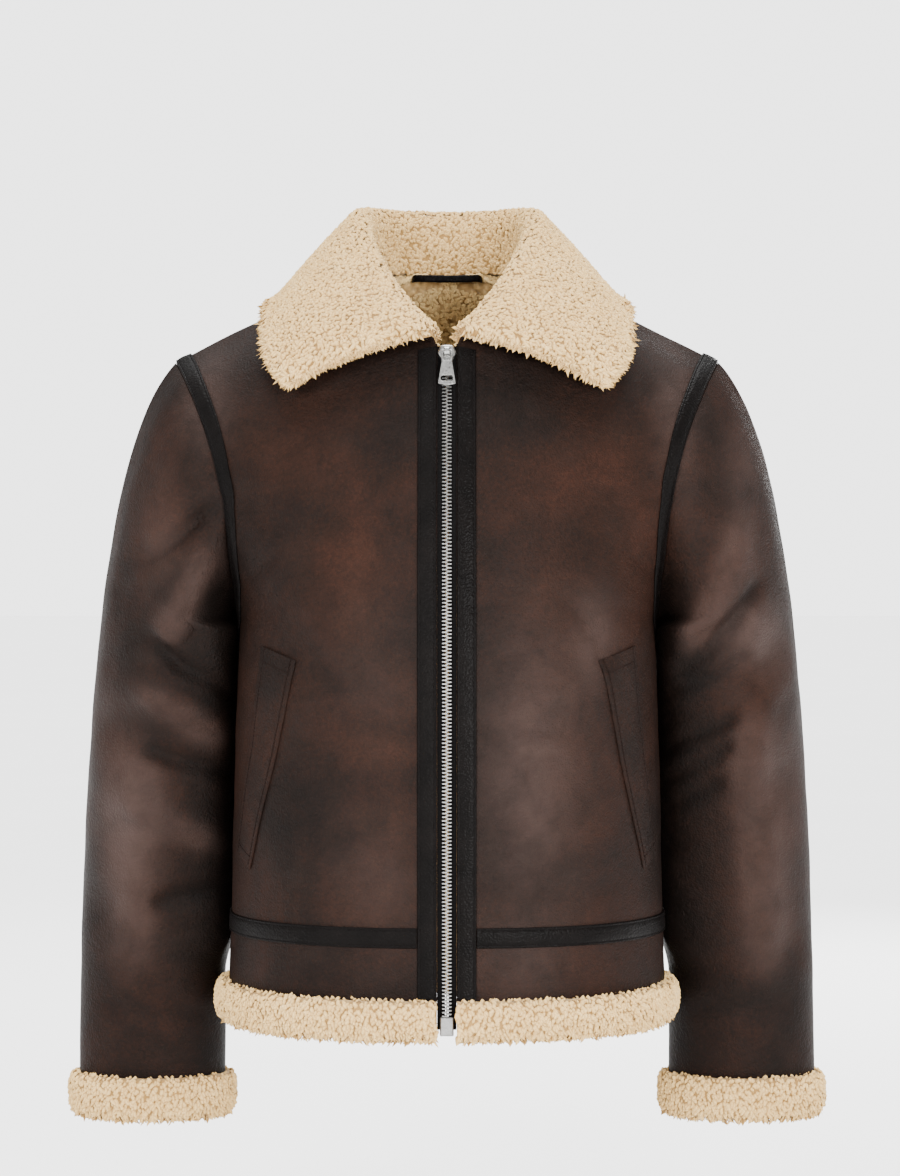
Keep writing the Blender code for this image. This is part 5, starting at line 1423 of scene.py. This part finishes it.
def strip(name, node, rail, material, slot, thick, gap=SKIN_GAP, section=STRIP_SECTION, closed=False):
    """A strip that lies on a panel. rail gives points and normals at a share across, for every step
    along it."""
    rows = [rail(share) for share, _ in section]
    points = np.stack([row[0] for row in rows], axis=1)
    normals = np.stack([row[1] for row in rows], axis=1)
    height = np.array([level for _, level in section])[None, :, None] * thick
    outer = points + normals * (gap + height)
    faces = grid_faces(*points.shape[:2])
    if closed:
        last = (len(points) - 1) * points.shape[1]
        k = np.arange(points.shape[1] - 1)
        faces = np.concatenate([faces, np.stack([last + k, last + k + 1, k + 1, k], axis=1)])
    made = shell(name, outer, -normals * height, faces, [material], slot, node)
    width = path_length(points[len(points) // 2])
    length = path_length(np.concatenate([points[:, 6], points[:1, 6]]) if closed else points[:, 6])
    declare(width * 1.1, length * 1.05, width * length)
    lines = []
    for share in STITCH_SHARES:
        line, out = rail(share)
        level = np.interp(share, [s for s, _ in section], [h for _, h in section]) * thick
        lines.append((line + out * (gap + level), out))
    return made, lines


def front_rows_at_x(v, mirror):
    """A rail maker: the front's points where each row crosses a plane of constant x."""
    u = np.linspace(0.0, 0.3, 240)
    points, normals = grid_on(FRONT_PANEL, u, v, mirror)

    def at(x):
        spot, facing = [], []
        for row, out in zip(points, normals):
            reach = row[:, 0] * mirror
            spot.append([np.interp(x, reach, row[:, k]) for k in range(3)])
            facing.append([np.interp(x, reach, out[:, k]) for k in range(3)])
        return np.array(spot), unit(np.array(facing))

    return at


def make_plackets():
    lines = []
    v = np.concatenate([[2.0], np.linspace(6, FRONT_NECK - 2, 150)])
    for side, mirror, material in (("left", -1, BLACK), ("right", 1, BLACK_SHINY)):
        at = front_rows_at_x(v, mirror)
        low, wide = FRONT_EDGE + 0.4, PLACKET_WIDTH - 0.4
        _, more = strip(f"trim_placket_{side}", f"placket_{side}", lambda share: at(low + wide * share), material,
                        "leather_black", TRIM)
        lines += more
    return lines


def make_hem_tapes():
    lines = []
    shares = np.array((-0.5, 0.5)) * TAPE_WIDTH
    for side, mirror, material in (("left", -1, BLACK), ("right", 1, BLACK_SHINY)):
        at = front_rows_at_x(np.array([BAND_SEAM]), mirror)
        reach = at(FRONT_EDGE + PLACKET_WIDTH + 0.5)[0]
        u_grid = np.linspace(0.0, 0.3, 400)
        x = smooth_points(FRONT_PANEL, u_grid, BAND_SEAM, mirror)[:, 0] * mirror
        start = np.interp(FRONT_EDGE + PLACKET_WIDTH + 0.5, x, u_grid)
        u = np.linspace(start, 0.9985, 110)
        _, more = strip(
            f"trim_hem_tape_front_{side}", f"hem_tape_front_{side}",
            lambda share: on_panel(FRONT_PANEL, u, BAND_SEAM + shares[0] + TAPE_WIDTH * share, mirror), material,
            "leather_black", TRIM)
        lines += more
    u = np.concatenate([-np.linspace(0.9985, 0.0, 110), np.linspace(0.0, 0.9985, 110)[1:]])

    def across_back(share):
        v = BAND_SEAM + shares[0] + TAPE_WIDTH * share
        left, left_out = on_panel(BACK_PANEL, -u[u < 0], v, -1)
        right, right_out = on_panel(BACK_PANEL, u[u >= 0], v, 1)
        return np.concatenate([left, right]), np.concatenate([left_out, right_out])

    _, more = strip("trim_hem_tape_back", "hem_tape_back", across_back, BLACK, "leather_black", TRIM)
    return lines + more


def make_armhole_tapes():
    lines = []
    tree = torso_tree()
    for side, mirror, material in (("left", -1, BLACK), ("right", 1, BLACK_SHINY)):
        ring, body_out = armhole(mirror)
        sleeve_out = sleeve_normals(ring, [0.012], mirror)[0]
        tangent = unit(np.roll(ring, -1, axis=0) - np.roll(ring, 1, axis=0))
        sideways = unit(np.cross(body_out, tangent))
        sideways *= np.where(((ring - ring.mean(axis=0)) * sideways).sum(1, keepdims=True) < 0, -1.0, 1.0)
        tucked = 0.8 + 9.0 * np.maximum(0.0, 0.4 - (body_out * sleeve_out).sum(1))

        def rail(share):
            placed, facing = [], []
            for point, away, out, start in zip(ring, sideways, body_out, tucked):
                near, normal, _, _ = tree.find_nearest(Vector(point + away * (start + share * ARMHOLE_TAPE_WIDTH)))
                normal = np.array(normal)
                normal *= 1.0 if normal @ out > 0 else -1.0
                placed.append(np.array(near))
                facing.append(unit(normal + out))
            placed, facing = np.array(placed), np.array(facing)
            for _ in range(2):
                facing = unit(np.roll(facing, 1, axis=0) + 2 * facing + np.roll(facing, -1, axis=0))
            return placed, facing

        _, more = strip(f"trim_armhole_{side}", f"armhole_tape_{side}", rail, material, "leather_black", TRIM, gap=0.7,
                        closed=True)
        lines += more
    return lines


def front_under(x, z, mirror):
    """u and v of the front panel under points seen from the front, by Newton's method."""
    x, z = np.asarray(x, float), np.asarray(z, float)
    u, v = np.clip(x / 190.0, 0.01, 0.97), z + 595.0
    for _ in range(20):
        here = smooth_points(FRONT_PANEL, u, v, 1)[..., [0, 2]]
        by_u = (smooth_points(FRONT_PANEL, u + 1e-4, v, 1)[..., [0, 2]] - here) / 1e-4
        by_v = (smooth_points(FRONT_PANEL, u, v + 0.1, 1)[..., [0, 2]] - here) / 0.1
        miss_x, miss_z = x - here[..., 0], z - here[..., 1]
        det = by_u[..., 0] * by_v[..., 1] - by_v[..., 0] * by_u[..., 1]
        u = np.clip(u + (miss_x * by_v[..., 1] - miss_z * by_v[..., 0]) / det, 0.0, 0.9999)
        v = v + (miss_z * by_u[..., 0] - miss_x * by_u[..., 1]) / det
    return u, v


WELT_SECTION = ((0.0, 0.2), (0.02, 0.75), (0.06, 1.0), (0.11, 0.78), (0.16, 1.0), (0.35, 1.08), (0.6, 1.08), (0.84, 0.95),
                (0.89, 0.62), (0.94, 0.8), (0.98, 0.55), (1.0, 0.15))


def make_welts():
    lines = []
    steps = np.linspace(0.0, 1.0, 60)[:, None]
    inner = np.array(WELT_TOP_INNER) * (1 - steps) + np.array(WELT_FOOT_INNER) * steps
    outer = np.array(WELT_TOP_OUTER) * (1 - steps) + np.array(WELT_FOOT_OUTER) * steps
    for side, mirror in (("left", -1), ("right", 1)):
        def rail(share):
            spot = inner * (1 - share) + outer * share
            u, v = front_under(spot[:, 0], spot[:, 1], mirror)
            return on_panel(FRONT_PANEL, u, v, mirror)

        made, more = strip(f"cloth_welt_{side}", f"pocket_welt_{side}", rail, BROWN, "leather_brown", WELT_THICK - 0.9,
                           gap=0.6, section=WELT_SECTION)
        lines += more
        for step in (4, 56):
            ends = [rail(share) for share in np.linspace(0.1, 0.9, 12)]
            line = np.array([end[0][step] for end in ends])
            out = np.array([end[1][step] for end in ends])
            lines.append((line + out * (WELT_THICK - 0.2), out))
    return lines


# Zip


def centre_line(z, out):
    """Points of the zip's middle plane at given heights, moved out from the leather's face."""
    z = np.asarray(z, float)
    v = np.clip(np.interp(z, [row.centre[2] for row in FRONT], [row.v for row in FRONT]), HEM, FRONT_NECK)
    for _ in range(6):
        v = np.clip(v - (smooth_points(FRONT_PANEL, 0.0, v, 1)[..., 2] - z), HEM, FRONT_NECK)
    here = smooth_points(FRONT_PANEL, 0.0, v, 1) * (0, 1, 1)
    low = smooth_points(FRONT_PANEL, 0.0, np.maximum(v - 2, HEM), 1)
    high = smooth_points(FRONT_PANEL, 0.0, np.minimum(v + 2, FRONT_NECK), 1)
    up = unit((high - low) * (0, 1, 1))
    normal = np.stack([np.zeros_like(z), -up[..., 2], up[..., 1]], axis=-1)
    here[..., 2] = np.where(z < -595.0, z, here[..., 2])
    return here + normal * out, normal, up


TOOTH_PITCH = 3.0
TAB_ROUND = 0.45
ZIP_TAPE_HEAD, ZIP_TAPE_FOOT = -57.5, -618.0
ZIP_TAPE_CUT = 12.0  # its whole width, part of it under the leather
# One tooth as a closed ring of corners, x from the middle outwards and z: its head, waist and clamp
TOOTH_OUTLINE = ((-0.55, -0.72), (0.5, -0.98), (1.25, -0.5), (3.9, -0.62), (4.1, -0.4), (4.1, 0.4), (3.9, 0.62), (1.25, 0.5),
                 (0.5, 0.98), (-0.55, 0.72))


def make_teeth():
    outline = np.array(TOOTH_OUTLINE)
    count = len(outline)
    points, faces, base = [], [], 0
    layers = ((-1.0, 0.82), (-0.78, 1.0), (0.78, 1.0), (1.0, 0.82))
    for side in (-1, 1):
        z = np.arange(ZIP_TOP - (0.9 if side > 0 else 0.9 + TOOTH_PITCH / 2), ZIP_BOTTOM, -TOOTH_PITCH)
        middle, normal, up = centre_line(z, -CHAIN_DEPTH)
        across = np.array((side, 0.0, 0.0))
        for depth, size in layers:
            for x, rise in outline:
                centre_x = 1.8
                points.append(
                    middle + across * (centre_x + (x - centre_x) * size) + up * rise * size
                    + normal * depth * CHAIN_THICK / 2
                )
        teeth = len(z)
        cell = np.arange(count * len(layers)).reshape(len(layers), count)
        quads = [(cell[i, k], cell[i, (k + 1) % count], cell[i + 1, (k + 1) % count], cell[i + 1, k])
                 for i in range(len(layers) - 1) for k in range(count)]
        for layer, order in ((0, -1), (len(layers) - 1, 1)):
            loop = cell[layer][::order]
            quads += [tuple(loop[[0, i, i + 1, i + 1]]) for i in range(1, count - 1)]
        quads = np.array(quads)
        if side < 0:
            quads = quads[:, ::-1]
        faces.append((quads[None] * teeth + np.arange(teeth)[:, None, None]).reshape(-1, 4) + base)
        base += count * len(layers) * teeth
    quads = np.concatenate(faces)
    triangles = np.concatenate([quads[:, [0, 1, 2]], quads[:, [0, 2, 3]]])
    real = (triangles[:, 0] != triangles[:, 1]) & (triangles[:, 1] != triangles[:, 2]) & (triangles[:, 0] != triangles[:, 2])
    # The teeth take the darker nickel: painted shade
    made = piece("zip_teeth", np.concatenate(points), triangles[real], [NICKEL_IN_PAINTED_SHADE], "metal")
    made.data.set_sharp_from_angle(angle=math.radians(30))
    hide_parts("zip_chain")


def make_zip_tapes():
    """Each tape runs from behind its own teeth to the leather's edge, and down past the hem."""
    z = np.concatenate([np.linspace(ZIP_TAPE_HEAD, -600.0, 150), np.linspace(-603.0, ZIP_TAPE_FOOT, 6)])
    for side, mirror in (("left", -1), ("right", 1)):
        middle, normal, _ = centre_line(z, -CHAIN_DEPTH)
        x = np.array((1.3, 4.2, 4.6, 5.4, 6.4, FRONT_EDGE - 0.08)) * mirror
        level = np.array((0.1, 0.1, 0.9, 0.5, 0.5, 0.5))
        outer = middle[:, None] + normal[:, None] * level[None, :, None]
        outer[..., 0] = x
        inward = -normal[:, None] * (level + 0.5)[None, :, None]
        faces = grid_faces(len(z), len(x))
        made = shell(f"zip_tape_cloth_{side}", outer, inward, faces, [TAPE_CLOTH], "zip_cloth", f"zip_tape_{side}")
        length = path_length(middle)
        declare(ZIP_TAPE_CUT, length, (FRONT_EDGE - 1.3) * length)


SLIDER_OUTLINE = ((4.7, 0.0), (6.3, -2.4), (7.7, -6.2), (6.7, -8.8), (5.1, -11.8), (4.5, -15.0))
# Layers of the slider's body from front to back: depth, and size about its middle
SLIDER_LAYERS = ((-4.0, 0.82), (-3.3, 0.96), (-2.6, 1.0), (3.4, 1.0), (4.2, 0.96), (4.6, 0.84))
# The bridge's middle line over the tab's pin: along the zip, and out from the leather
BRIDGE_LINE = ((2.85, 3.0), (2.85, 5.4), (2.8, 6.9), (2.4, 7.9), (1.5, 8.5), (0.0, 8.7))


def on_zip(points):
    """Points in the slider's own axes (across, away from the viewer, up the zip) as places."""
    top, normal, up = centre_line(np.array([SLIDER_TOP]), 0.0)
    points = np.asarray(points, float)
    return top[0] + points[..., :1] * (1, 0, 0) - points[..., 1:2] * normal[0] + points[..., 2:] * up[0]


def tube_faces(rows, around):
    """Triangles of rows of rings, with both ends closed."""
    quads = grid_faces(rows, around, closed=True)
    last = (rows - 1) * around
    ends = [(0, i, i + 1) for i in range(1, around - 1)] + [(last, last + i + 1, last + i) for i in range(1, around - 1)]
    return np.concatenate([quads[:, [0, 1, 2]], quads[:, [0, 2, 3]], ends])


def make_slider():
    right = np.array(SLIDER_OUTLINE)
    outline = np.concatenate([right, right[::-1] * (-1, 1)])
    middle = np.array((0.0, -SLIDER_LENGTH / 2))
    rings = []
    for depth, size in SLIDER_LAYERS:
        ring = middle + (outline - middle) * size
        rings.append(np.stack([ring[:, 0], np.full(len(ring), depth), ring[:, 1]], axis=1))
    body = np.array(rings)
    half = np.array(BRIDGE_LINE)
    line = np.concatenate([half, half[::-1][1:] * (-1, 1)])
    line = through(np.arange(len(line)), line, np.linspace(0, len(line) - 1, 25))
    turn = unit(np.gradient(line, axis=0))
    side = np.stack([-turn[:, 1], turn[:, 0]], axis=1)
    rings = []
    for spot, away in zip(line, side):
        ring = []
        for x, rise in ((-2.3, 0.5), (-1.8, 0.85), (1.8, 0.85), (2.3, 0.5), (2.3, -0.5), (1.8, -0.85), (-1.8, -0.85),
                        (-2.3, -0.5)):
            at = spot + away * rise
            ring.append((x, -at[1], at[0] - PIVOT_DOWN))
        rings.append(ring)
    bridge = np.array(rings)
    parts, faces, base = [], [], 0
    for part in (body, bridge):
        flat = on_zip(part).reshape(-1, 3)
        outward = flat - np.repeat(on_zip(part).mean(axis=1), part.shape[1], axis=0)
        faces.append(wound(flat, outward, tube_faces(*part.shape[:2])) + base)
        parts.append(flat)
        base += len(flat)
    made = piece("slider_form", np.concatenate(parts), np.concatenate(faces), [NICKEL], "metal")
    made.data.set_sharp_from_angle(angle=math.radians(32))
    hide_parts("zip_slider")


def make_tab():
    """The pull tab with its edges rounded."""
    node = bpy.data.objects["zip_pull_tab"]
    cage = bmesh.new()
    cage.from_mesh(node.data)
    bmesh.ops.remove_doubles(cage, verts=cage.verts, dist=1e-6)
    bmesh.ops.dissolve_limit(cage, angle_limit=math.radians(2), verts=cage.verts, edges=cage.edges)
    sharp = [edge for edge in cage.edges if len(edge.link_faces) == 2 and edge.calc_face_angle() > math.radians(60)]
    bmesh.ops.bevel(cage, geom=sharp, offset=TAB_ROUND * MM, segments=3, profile=0.5, affect="EDGES", clamp_overlap=True)
    mesh = bpy.data.meshes.new("tab_form")
    cage.to_mesh(mesh)
    cage.free()
    mesh.materials.clear()
    mesh.materials.append(NICKEL)
    mesh.shade_smooth()
    mesh.set_sharp_from_angle(angle=math.radians(40))
    made = bpy.data.objects.new("tab_form", mesh)
    made.matrix_world = node.matrix_world.copy()
    bpy.context.scene.collection.objects.link(made)
    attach(made, "pull_tab")
    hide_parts("zip_pull_tab")


# Light, floor and camera

CAMERA_PLACE = (0.0026, -2.5, -0.259)
CAMERA_LENS = 87.97
FLOOR_Z = -0.86
# The backdrop brightens from 1.1 to 3.4 towards +Y, between these shares of that direction
BACKDROP = (0.82, 0.95, 1.1, 3.4)
OVERHEAD = 8.0


def make_stage():
    camera = bpy.data.cameras.new("camera")
    camera.lens, camera.sensor_width = CAMERA_LENS, 36.0
    made = bpy.data.objects.new("camera", camera)
    made.location = CAMERA_PLACE
    made.rotation_euler = (math.pi / 2, 0, 0)
    bpy.context.scene.collection.objects.link(made)
    bpy.context.scene.camera = made

    bpy.ops.mesh.primitive_circle_add(vertices=96, radius=60.0, fill_type="NGON", location=(0, 0, FLOOR_Z))
    floor = bpy.context.object
    floor.name = "floor"
    n = Nodes("pale floor", 0.9, specular=0.1)
    n.colour(n.ramp(n.noise(1.5, 2.0), ((0.3, (0.86, 0.86, 0.86)), (0.7, (0.88, 0.88, 0.88)))))
    floor.data.materials.append(n.material)

    world = bpy.data.worlds.new("studio")
    bpy.context.scene.world = world
    world.use_nodes = True
    tree = world.node_tree
    background = tree.nodes["Background"]
    background.inputs["Color"].default_value = (1.0, 1.0, 1.0, 1.0)
    where, parts, fall = (tree.nodes.new(kind) for kind in ("ShaderNodeTexCoord", "ShaderNodeSeparateXYZ", "ShaderNodeMapRange"))
    for socket, value in zip(("From Min", "From Max", "To Min", "To Max"), BACKDROP):
        fall.inputs[socket].default_value = value
    fall.interpolation_type = "SMOOTHSTEP"
    tree.links.new(where.outputs["Generated"], parts.inputs["Vector"])
    tree.links.new(parts.outputs["Y"], fall.inputs["Value"])
    tree.links.new(fall.outputs["Result"], background.inputs["Strength"])

    lights = (
        # name, place, size, power
        ("key", (0.95, -2.5, -0.1), 1.1, 120.0),
        ("fill", (-1.5, -2.2, 0.3), 1.2, 75.0),
        ("back", (0.9, 2.4, 0.6), 1.3, 60.0),
    )
    for name, place, size, power in lights:
        light = bpy.data.lights.new(name, "AREA")
        light.shape, light.size, light.energy = "DISK", size, power
        lamp = bpy.data.objects.new(name, light)
        lamp.location = place
        lamp.rotation_euler = (Vector((0, 0, -0.3)) - Vector(place)).to_track_quat("-Z", "Y").to_euler()
        bpy.context.scene.collection.objects.link(lamp)
    light = bpy.data.lights.new("overhead", "SUN")
    light.angle, light.energy = math.radians(50), OVERHEAD
    lamp = bpy.data.objects.new("overhead", light)
    bpy.context.scene.collection.objects.link(lamp)


def dress_nodes():
    """Better materials for the solids that stay as they are."""
    # The box at the zip's foot takes the darker nickel: painted shade
    for name, made in (("zip_box", NICKEL_IN_PAINTED_SHADE),):
        node = bpy.data.objects[name]
        for item in node.material_slots:
            item.material = made


def main():
    make_stage()
    make_torso()
    make_sleeves()
    make_fleece_edges()
    make_collar()
    make_fringe()
    make_hanger_loop()
    black = make_plackets() + make_hem_tapes() + make_armhole_tapes()
    stitches("stitches_black", black, BLACK_THREAD, "leather_black")
    stitches("stitches_brown", make_welts(), BROWN_THREAD, "leather_brown", pitch=3.2)
    make_teeth()
    make_slider()
    make_tab()
    make_zip_tapes()
    dress_nodes()


main()
